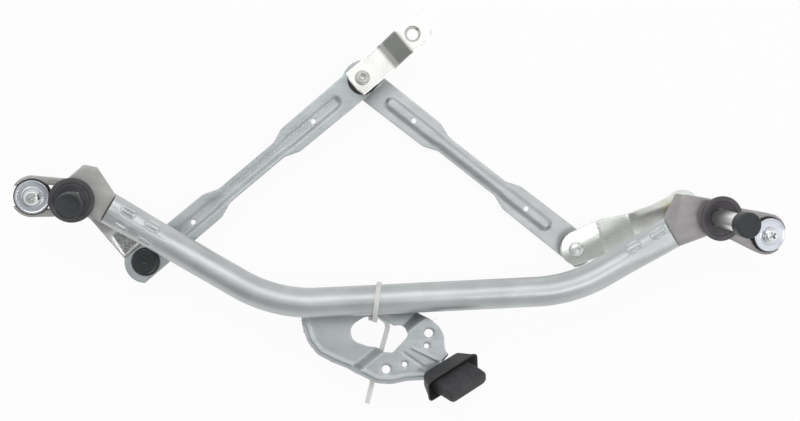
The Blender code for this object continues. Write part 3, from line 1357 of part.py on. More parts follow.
def build_foot(linkage, finishes):
    """The rubber foot: a flared cup with a block inside it, pushed on the plate's tongue."""
    at_foot = frame_along(FOOT_AXIS, FOOT_LONG, FOOT_CENTRE)
    levels = [
        (21.4, 8.2, 4.0, 0.0),
        (22.9, 9.4, 5.0, 1.5),
        (28.4, 10.8, 5.0, 13.0),
        (30.4, 11.5, 5.0, 15.6),
        (30.4, 11.5, 5.0, 16.2),
        (28.9, 10.2, 4.4, 16.2),
        (23.6, 8.4, 3.8, 6.0),
        (22.2, 6.9, 4.5, 6.0),
        (21.6, 6.4, 4.5, 35.0),
        (20.4, 5.4, 4.0, 36.4),
    ]
    loops = []
    for half_long, half_short, corner, height in levels:
        loops.append(rectangle_loop(half_long * MM, half_short * MM, corner * MM, height * MM))
    foot = lofted("rubber_foot", loops, finishes["rubber"], linkage, at_foot)

    flat = math.hypot(FOOT_AXIS.x, FOOT_AXIS.y)
    way = Vector((FOOT_AXIS.x, FOOT_AXIS.y)) / flat
    root = Vector((*FOOT_TONGUE_ROOT, SEAT_HEIGHT))
    tip = root + Vector((*(way * FOOT_TONGUE_LENGTH), FOOT_TONGUE_LENGTH * FOOT_AXIS.z / flat))
    top = frame_along(FOOT_AXIS, Vector((-way.y, way.x, 0)), tip)
    half = FOOT_TONGUE_HALF + GAP
    room = []
    for x in (-half, half):
        for y in (-PLATE_THICKNESS - GAP, GAP):
            for z in (-FOOT_TONGUE_LENGTH * 1.2, GAP):
                room.append((x, y, z))
    boolean(foot, hull("tongue_slot", room, None, linkage, top), "DIFFERENCE")
    return foot


def build_tie(linkage, finishes):
    """A nylon cable tie round the tube and the plate's cradle: band, locking head and a long tail."""
    centre_y = tube_line_y(TIE_X)
    clear = TUBE_RADIUS + 0.8 * MM
    low = PLATE_LOW - PLATE_THICKNESS - 1.0 * MM
    inner = arc((centre_y, 0), clear, 20, 165, 8)
    inner += [(centre_y - clear, -5 * MM), (TIE_HOLE_EDGE, PLATE_LOW + 0.5 * MM)]
    inner += [(TIE_HOLE_EDGE, low), (centre_y + clear - 3 * MM, low)]
    inner += [(centre_y + clear + 1.0 * MM, -8 * MM)]
    outer = []
    middle = Vector((centre_y - 2 * MM, -2 * MM))
    for i in range(len(inner)):
        before, after = Vector(inner[i - 1]), Vector(inner[(i + 1) % len(inner)])
        way = (after - before).normalized()
        side = Vector((way.y, -way.x))
        if side.dot(Vector(inner[i]) - middle) < 0:
            side = -side
        outer.append(tuple(Vector(inner[i]) + side * TIE_THICKNESS))
    slant = frame_along(Vector((1, 0.16, 0)), Vector((0, 1, 0)), Vector((TIE_X, 0, 0)))
    half = TIE_WIDTH / 2
    tie = prism("cable_tie", outer, [inner], -half, half, finishes["nylon"], linkage, slant)

    head_top = low - 0.2 * MM
    head = []
    for x in (-0.9 * TIE_WIDTH, 0.9 * TIE_WIDTH):
        for y in (TIE_HOLE_EDGE, TIE_HOLE_EDGE + 8 * MM):
            for z in (head_top, head_top - TIE_HEAD_HEIGHT):
                head.append((TIE_X + x, y, z))
    boolean(tie, hull("tie_head", head, None, linkage), "UNION")
    path = [(x * MM, y * MM, z * MM) for x, y, z in TIE_TAIL]
    loops = []
    for i, point in enumerate(path):
        before, after = Vector(path[max(i - 1, 0)]), Vector(path[min(i + 1, len(path) - 1)])
        way = (after - before).normalized()
        side = way.cross(Vector((0, 0, 1))).normalized()
        up = side.cross(way)
        corners = [(-1, -1), (1, -1), (1, 1), (-1, 1)]
        loop = [Vector(point) + side * half * a + up * TIE_THICKNESS / 2 * b for a, b in corners]
        loops.append(loop)
    boolean(tie, lofted("tie_tail", loops, None, linkage), "UNION")
    return tie


def build():
    for obj in list(bpy.data.objects):
        bpy.data.objects.remove(obj)
    finishes = {
        "tube": finish("galvanised_tube", (0.56, 0.58, 0.59), 0.38, 0.9),
        "sheet": finish("galvanised_sheet", (0.52, 0.55, 0.56), 0.42, 0.85),
        "zinc": finish("bright_zinc", (0.80, 0.80, 0.76), 0.3, 0.9),
        "steel": finish("machined_steel", (0.68, 0.67, 0.64), 0.28, 1.0),
        "cast": finish("die_cast", (0.50, 0.49, 0.48), 0.55, 0.75),
        "rubber": finish("black_rubber", (0.02, 0.02, 0.022), 0.7, 0.0),
        "plastic": finish("black_plastic", (0.022, 0.023, 0.025), 0.5, 0.0),
        "bronze": finish("bearing_bronze", (0.55, 0.38, 0.2), 0.4, 1.0),
        "nylon": finish("natural_nylon", (0.82, 0.82, 0.78), 0.4, 0.0),
    }
    origin = Matrix.Translation((-SEAT_OFFSET, 0, -SEAT_HEIGHT))
    linkage = empty("wiper_linkage", None, origin)
    left = empty("left_shaft_axis", linkage, frame_along(SHAFT_LEAN, Vector((1, 0, 0)), LEFT_RING))
    right = empty("right_shaft_axis", linkage, frame_along(SHAFT_LEAN, Vector((1, 0, 0)), RIGHT_RING))

    build_tube(linkage, finishes["tube"])
    build_housing(
        "left_pivot_housing", left, True, LEFT_DECK_OUTLINE, LEFT_BARREL_BOTTOM,
        LEFT_EAR_CENTRE, LEFT_EAR_TOP, LEFT_FORK_ROOT_HALF, finishes["cast"],
    )
    build_housing(
        "right_pivot_housing", right, False, RIGHT_DECK_OUTLINE, RIGHT_BARREL_BOTTOM,
        RIGHT_EAR_CENTRE, RIGHT_EAR_TOP, RIGHT_FORK_ROOT_HALF, finishes["cast"],
    )
    sides = [
        ("left", left, LEFT_BARREL_BOTTOM, LEFT_EAR_CENTRE, LEFT_EAR_TOP),
        ("right", right, RIGHT_BARREL_BOTTOM, RIGHT_EAR_CENTRE, RIGHT_EAR_TOP),
    ]
    for side, pivot, barrel_bottom, ear_centre, ear_top in sides:
        build_seal(f"{side}_seal_ring", pivot, finishes["rubber"])
        build_bushes(side, pivot, barrel_bottom, finishes["bronze"])
        build_mount(side, pivot, ear_centre, ear_top, finishes)
        lever_top = build_arm(side, pivot, barrel_bottom, finishes)
        if side == "left":
            build_left_lever(pivot, lever_top, finishes)
        else:
            build_right_lever(pivot, lever_top, finishes)
    build_links(linkage, finishes)
    build_crank(linkage, finishes)
    build_plate(linkage, finishes)
    build_foot(linkage, finishes)
    build_tie(linkage, finishes)


build()
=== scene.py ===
"""Looks of the wiper linkage: finer pieces over the CAD solids, finishes, light and camera.

Drawing coordinates are those of the CAD: the motor's axis is X = Y = 0, the tube's centreline lies
at Z = 0 and the shafts point up. DRAWING moves them into the part's frame.
"""

import math

import bmesh
import bpy
import numpy as np
from mathutils import Matrix, Vector
from mathutils.geometry import delaunay_2d_cdt


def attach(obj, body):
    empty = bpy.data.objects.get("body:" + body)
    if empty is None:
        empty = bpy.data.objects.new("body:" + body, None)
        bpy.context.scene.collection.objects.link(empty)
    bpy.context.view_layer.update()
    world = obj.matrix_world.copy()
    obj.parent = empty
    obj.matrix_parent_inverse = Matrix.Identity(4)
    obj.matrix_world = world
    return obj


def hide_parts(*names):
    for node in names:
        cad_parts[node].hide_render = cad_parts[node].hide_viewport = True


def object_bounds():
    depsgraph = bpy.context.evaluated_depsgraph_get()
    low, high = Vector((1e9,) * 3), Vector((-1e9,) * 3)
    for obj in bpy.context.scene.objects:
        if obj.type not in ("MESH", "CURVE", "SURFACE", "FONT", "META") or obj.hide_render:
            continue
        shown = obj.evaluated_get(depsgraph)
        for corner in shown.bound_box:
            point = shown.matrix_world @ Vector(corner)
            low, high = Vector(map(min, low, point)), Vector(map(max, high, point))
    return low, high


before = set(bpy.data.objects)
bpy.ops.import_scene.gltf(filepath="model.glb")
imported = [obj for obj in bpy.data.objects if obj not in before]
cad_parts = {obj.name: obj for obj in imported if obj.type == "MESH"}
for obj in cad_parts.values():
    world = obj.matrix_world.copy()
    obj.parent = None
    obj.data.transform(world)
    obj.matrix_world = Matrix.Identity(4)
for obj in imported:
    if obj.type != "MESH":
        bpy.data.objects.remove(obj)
cad_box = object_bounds()

MM = 0.001
GAP = 0.3 * MM
DRAWING = Matrix.Translation(Vector((-19.0, 0.0, 6.8)) * MM)
FINE_STEPS = 72
JOIN_TOLERANCE = 1.0e-7
FLUSH = 1.0e-7

# Tube
TUBE_RADIUS = 13.5 * MM
TUBE_WALL = 2.0 * MM
TUBE_BEND_RADIUS = 130 * MM
TUBE_START = Vector((-259.9, 118.9, 0)) * MM
TUBE_LEFT_BEND = Vector((-108.9, 31.8, 0)) * MM
TUBE_RIGHT_BEND = Vector((157.3, 45.1, 0)) * MM
TUBE_END = Vector((247.6, 97.2, 0)) * MM
TUBE_END_HALF_WIDTH = 14.25 * MM
TUBE_END_HALF_HEIGHT = 10.5 * MM
TUBE_END_TAPER = 55 * MM
TUBE_END_SLANT = 0.3
CRIMPED_LENGTH = 66 * MM
CRIMP_LENGTH = 15.4 * MM
CRIMP_WIDTH = 7.8 * MM
CRIMP_PITCH = 26.4 * MM
LEFT_CRIMP_START = 17.3 * MM
RIGHT_CRIMP_START = 10.4 * MM
CRIMP_UPPER_OFFSET = 7.6 * MM
CRIMP_LOWER_OFFSET = 9.4 * MM
CRIMP_LOWER_STRENGTH = 0.75
CRIMP_DEPTH = 0.95 * MM
CRIMP_EDGE = 0.9 * MM
CRIMP_BAR_CORE = 5.0 * MM
CRIMP_BAR_OFFSET = 1.6 * MM
CRIMP_BAR_EDGE = 0.95 * MM
CRIMP_RIDGE_FALL = 1.0 * MM
CRIMP_RIDGE_EDGE = 2.0 * MM
CRIMP_RIDGE_WAVE = 1.1 * MM

# Wiper shafts and pivots
SHAFT_LEAN = Vector((0.226, -0.121, 1.0)).normalized()
LEFT_RING = Vector((-286.6, 125.5, 22.0)) * MM
RIGHT_RING = Vector((287.0, 109.3, 22.0)) * MM
SHAFT_RADIUS = 8.0 * MM
SHAFT_TAIL_RADIUS = 6.7 * MM
SHAFT_HEAD_RADIUS = 10.0 * MM
SHAFT_HEAD_HEIGHT = 2.4 * MM
CONE_START = 38.5 * MM
CONE_LENGTH = 4.5 * MM
CONE_TOP_RADIUS = 6.4 * MM
THREAD_RADIUS = 3.9 * MM
THREAD_LENGTH = 2.3 * MM
CAP_TOP = 47.5 * MM
CAP_HEIGHT = 11.0 * MM
CAP_RADIUS = 11.2 * MM
CAP_WALL = 1.8 * MM
SEAL_RADIUS = 20.0 * MM
SEAL_HEIGHT = 10.0 * MM
SEAL_SEAT_RADIUS = 12.3 * MM
BARREL_RADIUS = 14.0 * MM
BUSH_WALL = 1.7 * MM
LEFT_BARREL_BOTTOM = -57.5 * MM
RIGHT_BARREL_BOTTOM = -74.0 * MM
DECK = -SEAL_HEIGHT - GAP
DECK_DEPTH = 17.0 * MM
NECK_LENGTH = 9.0 * MM
NECK_RISE = 1.2 * MM
WASHER_THICKNESS = 1.0 * MM

# Ears
LEFT_EAR_CENTRE = Vector((-34.6, 1.9)) * MM
RIGHT_EAR_CENTRE = Vector((50.6, -16.8)) * MM
LEFT_EAR_TOP = -16.0 * MM
RIGHT_EAR_TOP = -6.0 * MM
FORK_TIP_HALF = 18.8 * MM
FORK_RAIL = 4.2 * MM
FORK_THICKNESS = 7.0 * MM
FORK_MOUTH_HALF = 9.2 * MM
GROMMET_RADIUS = 16.4 * MM
GROMMET_GROOVE_RADIUS = 14.2 * MM
GROMMET_FLANGE = 2.4 * MM
SLEEVE_RADIUS = 5.6 * MM
MOUNT_WASHER_RADIUS = 15.0 * MM
MOUNT_WASHER_THICKNESS = 1.6 * MM
SCREW_HEAD_RADIUS = 7.3 * MM
SCREW_HEAD_HEIGHT = 4.8 * MM
SCREW_RADIUS = 3.1 * MM
SCREW_LENGTH = 22.0 * MM
SCREW_PITCH = 1.0 * MM

# Levers, ball studs and sockets
LEVER_THICKNESS = 3.0 * MM
LEFT_BALL = Vector((-233.6, 69.1, -36.5)) * MM
RIGHT_BALL = Vector((166.6, 83.0, -52.5)) * MM
RIGHT_LEVER_FIRST_BEND = 54.0 * MM
RIGHT_LEVER_SECOND_BEND = 86.0 * MM
RIGHT_LEVER_SLOPE = 0.173
BEND_RIDGE = 0.35 * MM
BEND_RIDGE_REACH = 2.4 * MM
ROLLED_EDGE_DROP = 2.2 * MM
POCKET_START = 49.5 * MM
POCKET_END_GAP = 16.5 * MM
POCKET_DEPTH = 0.3 * MM
POCKET_END_EDGE = 2.0 * MM
POCKET_SIDE_EDGE = 1.2 * MM
STUD_DROP = 13.0 * MM
STUD_RISE = 10.0 * MM
BALL_RADIUS = 7.5 * MM
BALL_PLAY = 0.5 * MM
STUD_NECK_RADIUS = 3.6 * MM
STUD_SHANK_RADIUS = 4.2 * MM
STUD_COLLAR_RADIUS = 7.0 * MM
STUD_HEAD_RADIUS = 6.9 * MM
STUD_HEAD_HEIGHT = 4.6 * MM
SOCKET_GROOVE_RADIUS = 11.1 * MM
SOCKET_FLANGE_RADIUS = 13.3 * MM
SOCKET_WIDE_FLANGE_RADIUS = 14.4 * MM
SOCKET_FLANGE = 2.2 * MM
SOCKET_CLOSED_REACH = 9.6 * MM
SOCKET_OPEN_REACH = 6.4 * MM
SOCKET_LOWER_RADIUS = 12.6 * MM
OPEN_GROOVE_RADIUS = 12.2 * MM

# Links
LINK_THICKNESS = 2.0 * MM
LINK_END_HALF = 14.75 * MM
LINK_WIDE_HALF = 13.75 * MM
LINK_NARROW_HALF = 8.4 * MM
LINK_END_RADIUS = 20.0 * MM
LINK_WAIST_RAMP = 14.0 * MM
BEAD_START = 27.0 * MM
BEAD_HALF_WIDTH = 7.2 * MM
BEAD_FLOOR_HALF_WIDTH = 2.6 * MM
BEAD_WAIST_FLOOR = 0.6 * MM
BEAD_DEPTH = 2.4 * MM
LINK_HOLE_RADIUS = 2.4 * MM
LINK_HOLE_NEAR = 57.0 * MM
LINK_HOLE_FAR = 60.5 * MM

# Crank
CRANK_PIN = Vector((-31.6, 238.6, 0)) * MM
UPPER_BALL_HEIGHT = -36.5 * MM
LOWER_BALL_HEIGHT = -52.5 * MM
CRANK_ANGLE = math.radians(40)
CRANK_LENGTH = 60.0 * MM
CRANK_HALF_WIDTH = 13.0 * MM
CRANK_THICKNESS = 4.5 * MM
CRANK_PIN_TOP = -22.0 * MM
CRANK_STEP = 12.0 * MM

# Motor plate, foot and tie
PLATE_THICKNESS = 2.5 * MM
SEAT_HEIGHT = -6.8 * MM
PLATE_LOW = -(TUBE_RADIUS + GAP)
FOOT_CENTRE = Vector((40.3, -27.1, -5.0)) * MM
FOOT_AXIS = Vector((0.6587, -0.3520, 0.6666)).normalized()
FOOT_LONG = Vector((0.7496, 0.3811, -0.5414)).normalized()
FOOT_TONGUE_ROOT = Vector((37.3, -25.5)) * MM
FOOT_TONGUE_HALF = 6.0 * MM
FOOT_TONGUE_LENGTH = 12.4 * MM
RIM_DROP = 4.2 * MM
RIM_WIDTH = 3.4 * MM
RIM_RIDGE = 0.9 * MM
RIM_RIDGE_PLACE = 4.8 * MM
RIM_RIDGE_REACH = 3.6 * MM
HOLE_SINK = 0.6 * MM
HOLE_SINK_REACH = 1.3 * MM
TIE_X = -22.0 * MM
TIE_WIDTH = 4.6 * MM
TIE_THICKNESS = 1.2 * MM
TIE_HOLE_EDGE = 15.8 * MM

# The photograph's camera, square to the drawing
CAMERA_PLACE = Vector((2.9, 116.6, 1050.0)) * MM
CAMERA_LENS = 52.5

# Light: the room's level, and its darker spots as (direction, reach, share taken away)
WORLD_LEVEL = 0.75
FLOOR_WHITE = 0.92
DARK_SPOTS = [
    ((0.08, -0.34, 0.94), 0.5, 0.6),
    ((-0.42, -0.62, 0.66), 0.6, 0.7),
]


# Shader maths

class Wire:
    """A socket or a number of a material, with arithmetic that adds nodes."""

    def __init__(self, tree, value):
        self.tree = tree
        self.value = value

    def join(self, operation, *others, swap=False):
        values = [self.value] + [o.value if isinstance(o, Wire) else o for o in others]
        if swap:
            values.reverse()
        return self.tree.node("ShaderNodeMath", {"operation": operation}, *values)

    def __add__(self, other):
        return self.join("ADD", other)

    def __radd__(self, other):
        return self.join("ADD", other)

    def __rsub__(self, other):
        return self.join("SUBTRACT", other, swap=True)

    def __mul__(self, other):
        return self.join("MULTIPLY", other)

    def __rmul__(self, other):
        return self.join("MULTIPLY", other)

    def __truediv__(self, other):
        return self.join("DIVIDE", other)

    def most(self, other):
        return self.join("MAXIMUM", other)


class Nodes:
    """A node tree that grows by one call for each node."""

    def __init__(self, tree):
        self.nodes = tree.nodes
        self.links = tree.links

    def feed(self, socket, value):
        if isinstance(value, Wire):
            value = value.value
        if isinstance(value, bpy.types.NodeSocket):
            self.links.new(value, socket)
        elif isinstance(value, (tuple, list)) and len(value) == 3 and socket.type == "RGBA":
            socket.default_value = (*value, 1)
        else:
            socket.default_value = value

    def node(self, kind, settings, *values, out=0, **named):
        """Adds a node, sets its settings, feeds its sockets, and gives its output as a wire."""
        made = self.nodes.new(kind)
        stops = settings.pop("stops", None)
        for key, value in settings.items():
            setattr(made, key, value)
        if stops:
            ramp = made.color_ramp.elements
            while len(ramp) < len(stops):
                ramp.new(0.5)
            for element, (place, value) in zip(ramp, stops):
                element.position = place
                element.color = (value, value, value, 1)
        for socket, value in zip(made.inputs, values):
            self.feed(socket, value)
        for key, value in named.items():
            self.feed(made.inputs[key.replace("_", " ")], value)
        return Wire(self, made.outputs[out])

    def ramp(self, value, *stops):
        return self.node("ShaderNodeValToRGB", {"stops": stops}, value)


class Finish(Nodes):
    """A Principled material and the nodes behind it."""

    def __init__(self, name, **sockets):
        self.material = bpy.data.materials.new(name)
        self.material.use_nodes = True
        super().__init__(self.material.node_tree)
        self.shader = self.nodes["Principled BSDF"]
        for socket, value in sockets.items():
            self.feed(self.shader.inputs[socket.replace("_", " ")], value)

    def place(self, scale=(1, 1, 1), turn=0.0):
        """Object coordinates, turned about Z and stretched."""
        here = self.node("ShaderNodeTexCoord", {}, out=3)
        return self.node(
            "ShaderNodeMapping", {"vector_type": "POINT"},
            here, (0, 0, 0), (0, 0, turn), scale,
        )

    def along(self, scale):
        """Coordinates of the unrolled surface: round it, then along it."""
        here = self.node("ShaderNodeUVMap", {"uv_map": "unrolled"})
        return self.node("ShaderNodeMapping", {"vector_type": "POINT"}, here, (0, 0, 0), (0, 0, 0), scale)

    def noise(self, vector, scale, detail=3.0, rough=0.55):
        return self.node(
            "ShaderNodeTexNoise", {}, Vector=vector, Scale=scale, Detail=detail, Roughness=rough
        )

    def mix(self, share, first, second):
        made = self.nodes.new("ShaderNodeMix")
        made.data_type = "RGBA"
        self.feed(made.inputs[0], share)
        self.feed(made.inputs[6], first)
        self.feed(made.inputs[7], second)
        return Wire(self, made.outputs[2])

    def colour(self, value):
        self.feed(self.shader.inputs["Base Color"], value)
        return self

    def set(self, socket, value):
        self.feed(self.shader.inputs[socket], value)
        return self

    def bump(self, height, distance, strength=1.0):
        raised = self.node(
            "ShaderNodeBump", {}, Strength=strength, Distance=distance, Height=height
        )
        self.feed(self.shader.inputs["Normal"], raised)
        return self


def galvanised(name, light, dark, turn=0.0, unrolled=False, rough=0.36, metal=0.9):
    """Zinc-dipped steel: faint clouds, rolling streaks along the piece, tiny pits."""
    made = Finish(name, Metallic=metal)
    if unrolled:
        streak_place = made.along((9, 14, 1))
        long_place = made.along((40, 5, 1))
    else:
        streak_place = made.place((10, 130, 40), turn)
        long_place = made.place((5, 260, 60), turn)
    cloud = made.noise(made.place(), 38.0, 3.0, 0.55)
    streak = made.noise(streak_place, 1.0, 2.0, 0.5)
    line = made.noise(long_place, 1.0, 1.0, 0.5)
    grain = made.noise(made.place(), 900.0, 1.0, 0.5)
    tone = made.ramp(cloud * 0.45 + streak * 0.35 + line * 0.2, (0.34, 0.0), (0.66, 1.0))
    made.colour(made.mix(tone, dark, light))
    made.set("Roughness", rough - 0.07 + cloud * 0.1 + line * 0.08)
    return made.bump(grain * 0.15 + line * 0.6, 0.00004, 0.3)


def zinc_plate(name, light, dark, rough=0.24, turn=0.0):
    """Bright zinc plating with a greenish cloud and faint dull patches."""
    made = Finish(name, Metallic=0.95)
    cloud = made.noise(made.place(), 60.0, 2.0, 0.5)
    patch = made.noise(made.place((14, 60, 40), turn), 1.0, 2.0, 0.5)
    grain = made.noise(made.place(), 900.0, 1.0, 0.5)
    tone = made.ramp(cloud * 0.5 + patch * 0.5, (0.36, 0.0), (0.6, 1.0))
    made.colour(made.mix(tone, dark, light))
    made.set("Roughness", rough + 0.12 * (1 - tone))
    return made.bump(grain * 0.2 + patch * 0.4, 0.00003, 0.2)


def die_cast(name, light, dark):
    """Die-cast light alloy: matt and finely grained, with flow clouds."""
    made = Finish(name, Metallic=0.55)
    cloud = made.noise(made.place(), 45.0, 5.0, 0.6)
    flow = made.noise(made.place((30, 90, 30), 0.6), 1.0, 4.0, 0.6)
    grain = made.noise(made.place(), 2200.0, 3.0, 0.6)
    tone = made.ramp(cloud * 0.5 + flow * 0.5, (0.36, 0.0), (0.64, 1.0))
    made.colour(made.mix(tone, dark, light))
    made.set("Roughness", 0.48 + cloud * 0.12)
    return made.bump(grain + cloud * 0.4, 0.00008, 0.5)


def black_rubber(name, base, sheen, rough, grain_scale=1400.0, grain_height=0.00008):
    """Moulded rubber or plastic: near black, with a bloom on it and a fine grain."""
    made = Finish(name, Metallic=0.0)
    made.set("Specular IOR Level", sheen)
    cloud = made.noise(made.place(), 75.0, 4.0, 0.6)
    grain = made.noise(made.place(), grain_scale, 3.0, 0.65)
    lighter = tuple(min(1.0, c * 1.9 + 0.006) for c in base)
    tone = made.ramp(cloud * 0.6 + grain * 0.4, (0.38, 0.0), (0.66, 1.0))
    made.colour(made.mix(tone, base, lighter))
    made.set("Roughness", rough - 0.06 + cloud * 0.12)
    return made.bump(grain, grain_height, 0.6)


tube_finish = galvanised(
    "galvanised_tube", (0.62, 0.64, 0.64), (0.48, 0.50, 0.505), unrolled=True, rough=0.42, metal=0.8
)
left_link_finish = galvanised(
    "galvanised_left_link", (0.54, 0.57, 0.575), (0.42, 0.45, 0.455), -math.radians(40.3), rough=0.46
)
right_link_finish = galvanised(
    "galvanised_right_link", (0.58, 0.60, 0.605), (0.46, 0.48, 0.485), math.radians(38.1), rough=0.46
)
plate_finish = galvanised("galvanised_plate", (0.54, 0.565, 0.575), (0.42, 0.445, 0.455), 0.4, rough=0.46)
crank_finish = zinc_plate("crank_zinc", (0.96, 0.96, 0.92), (0.91, 0.91, 0.86), 0.24)
washer_finish = zinc_plate("washer_zinc", (0.72, 0.75, 0.80), (0.56, 0.59, 0.65), 0.24)
screw_finish = zinc_plate("screw_zinc", (0.84, 0.85, 0.85), (0.66, 0.68, 0.68), 0.24)
lever_finish = zinc_plate("lever_zinc", (0.84, 0.86, 0.81), (0.68, 0.71, 0.67), 0.26, 0.19)
steel_finish = zinc_plate("machined_steel", (0.88, 0.89, 0.88), (0.74, 0.75, 0.74), 0.26)
bore_finish = zinc_plate("turned_bore", (0.68, 0.69, 0.66), (0.56, 0.57, 0.54), 0.36)
rivet_finish = zinc_plate("rivet_zinc", (0.70, 0.70, 0.67), (0.54, 0.545, 0.52), 0.3)
left_cast_finish = die_cast("die_cast_left", (0.50, 0.49, 0.475), (0.37, 0.365, 0.35))
right_cast_finish = die_cast("die_cast_right", (0.44, 0.42, 0.42), (0.34, 0.325, 0.325))
left_seal_finish = black_rubber("left_seal_rubber", (0.040, 0.040, 0.043), 0.45, 0.48)
right_seal_finish = black_rubber("right_seal_rubber", (0.056, 0.051, 0.056), 0.5, 0.5)
cap_finish = black_rubber("cap_plastic", (0.016, 0.019, 0.021), 0.45, 0.42)
socket_finish = black_rubber("socket_plastic", (0.014, 0.016, 0.017), 0.45, 0.40)
foot_finish = black_rubber("foot_rubber", (0.028, 0.028, 0.030), 0.4, 0.58, 900.0, 0.00015)
grommet_finish = black_rubber("grommet_rubber", (0.013, 0.013, 0.014), 0.35, 0.5)


def bronze(name):
    made = Finish(name, Metallic=1.0)
    cloud = made.noise(made.place(), 120.0, 4.0, 0.6)
    made.colour(made.mix(cloud, (0.42, 0.28, 0.14), (0.62, 0.44, 0.24)))
    made.set("Roughness", 0.3 + cloud * 0.2)
    return made.bump(made.noise(made.place(), 1800.0), 0.00005, 0.4)


def nylon(name):
    made = Finish(name, Metallic=0.0)
    made.set("Transmission Weight", 0.25)
    made.set("Subsurface Weight", 0.4)
    made.set("Subsurface Radius", (2 * MM, 2 * MM, 2 * MM))
    cloud = made.noise(made.place(), 160.0, 3.0, 0.5)
    made.colour(made.mix(cloud, (0.80, 0.80, 0.77), (0.90, 0.90, 0.88)))
    made.set("Roughness", 0.34 + cloud * 0.12)
    return made.bump(made.noise(made.place(), 900.0), 0.00005, 0.3)


bronze_finish = bronze("bearing_bronze")
nylon_finish = nylon("natural_nylon")


def pocketed_steel(name):
    """The left lever: light where it is smooth, dark and grainy in the pressed pocket."""
    made = Finish(name, Metallic=0.9)
    pocket = made.node("ShaderNodeAttribute", {"attribute_name": "pocket"}, out=2)
    speck = made.ramp(made.noise(made.place(), 700.0, 3.0, 0.7), (0.4, 0.0), (0.62, 1.0))
    cloud = made.noise(made.place(), 60.0, 4.0, 0.6)
    dark = made.mix(speck, (0.20, 0.205, 0.20), (0.52, 0.53, 0.51))
    light = made.mix(cloud, (0.66, 0.67, 0.65), (0.80, 0.80, 0.78))
    made.colour(made.mix(pocket, light, dark))
    made.set("Roughness", 0.32 + pocket * 0.24)
    return made.bump(speck * pocket + cloud * 0.2, 0.00012, 0.7)


pocket_finish = pocketed_steel("pressed_lever_steel")


def paint_shade(made, attribute, tone):
    """Paints shade into a finish: darkens it where a mesh attribute says so."""
    shade_share = made.node("ShaderNodeAttribute", {"attribute_name": attribute}, out=2)
    bare_colour = made.shader.inputs["Base Color"].links[0].from_socket
    made.colour(made.mix(shade_share, bare_colour, tone))


# Painted shade: the crank's sloping step is darkened in its colour.
paint_shade(crank_finish, "step_shade", (0.44, 0.45, 0.43))
# Painted shade on the motor plate along and under the tube.
paint_shade(plate_finish, "tube_shade", (0.17, 0.19, 0.195))


def stained_lever(made, place):
    """A yellow trace of rust-proofing on the lever beside the housing."""
    spot = made.node("ShaderNodeVectorMath", {"operation": "DISTANCE"}, made.place(), tuple(place), out=1)
    near = made.ramp(spot / (11 * MM), (0.45, 1.0), (1.0, 0.0))
    ragged = made.ramp(made.noise(made.place(), 150.0, 5.0, 0.7), (0.4, 0.0), (0.58, 1.0))
    bare_colour = made.shader.inputs["Base Color"].links[0].from_socket
    made.colour(made.mix(near * ragged * 0.7, bare_colour, (0.62, 0.56, 0.22)))


# Mesh tools

def settle(obj, angle=38.0):
    """Applies the modifiers of an object to its mesh and shades it smooth between its edges."""
    bpy.context.view_layer.update()
    graph = bpy.context.evaluated_depsgraph_get()
    mesh = bpy.data.meshes.new_from_object(obj.evaluated_get(graph))
    obj.modifiers.clear()
    obj.data = mesh
    mesh.shade_smooth()
    mesh.set_sharp_from_angle(angle=math.radians(angle))
    return obj


def piece(name, bm, finish, matrix=None, angle=38.0):
    """Turns a bmesh into an object in the part's frame."""
    if matrix is not None:
        bm.transform(matrix)
    mesh = bpy.data.meshes.new(name)
    bm.normal_update()
    bm.to_mesh(mesh)
    bm.free()
    mesh.shade_smooth()
    mesh.set_sharp_from_angle(angle=math.radians(angle))
    made = bpy.data.objects.new(name, mesh)
    bpy.context.scene.collection.objects.link(made)
    if finish is not None:
        mesh.materials.append(finish.material)
    return made


def fit(obj, body, slot, *nodes):
    """The piece stands for CAD nodes and moves with their body."""
    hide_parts(*nodes)
    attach(obj, body)
    return obj


def bevelled(obj, width):
    """Rounds the sharp edges, then joins the points that the rounding laid on one another."""
    modifier = obj.modifiers.new("edges", "BEVEL")
    modifier.width = width
    modifier.segments = 2
    modifier.limit_method = "ANGLE"
    modifier.angle_limit = math.radians(40)
    modifier.use_clamp_overlap = False
    weld = obj.modifiers.new("weld", "WELD")
    weld.merge_threshold = 0.01 * MM
    return settle(obj, 50.0)


def cut(obj, other, operation="DIFFERENCE"):
    """Joins or cuts by another object, which then goes. A cutter with a finish leaves it on the cut."""
    modifier = obj.modifiers.new("cut", "BOOLEAN")
    modifier.operation = operation
    modifier.solver = "EXACT"
    if other.data.materials:
        modifier.material_mode = "TRANSFER"
    modifier.object = other
    settle(obj)
    bpy.data.objects.remove(other)
    return obj


def arc(centre, radius, start, end, steps):
    x, y = centre
    angles = [math.radians(start + (end - start) * i / steps) for i in range(steps + 1)]
    return [(x + radius * math.cos(a), y + radius * math.sin(a)) for a in angles]


def circle(centre, radius, steps):
    return arc(centre, radius, 0, 360, steps)[:-1]


def rounded(corners, steps=5, closed=True):
    """An outline from (x, y, radius) corners, with an arc at each corner that has a radius."""
    points = []
    count = len(corners)
    for i, (x, y, radius) in enumerate(corners):
        ends = not closed and i in (0, count - 1)
        if radius <= 0 or ends:
            points.append((x, y))
            continue
        here = Vector((x, y))
        before = Vector(corners[i - 1][:2]) - here
        after = Vector(corners[(i + 1) % count][:2]) - here
        room = min(before.length, after.length) * 0.49
        before.normalize()
        after.normalize()
        half = before.angle(after) / 2
        if half > math.radians(89):
            points.append((x, y))
            continue
        reach = min(radius / math.tan(half), room)
        radius = reach * math.tan(half)
        centre = here + (before + after).normalized() * radius / math.sin(half)
        first = here + before * reach - centre
        last = here + after * reach - centre
        turn = first.angle_signed(last)
        for step in range(steps + 1):
            spoke = first.copy()
            spoke.rotate(Matrix.Rotation(-turn * step / steps, 2))
            points.append(tuple(centre + spoke))
    return points


def plain(points):
    return [(x, y, 0) for x, y in points]


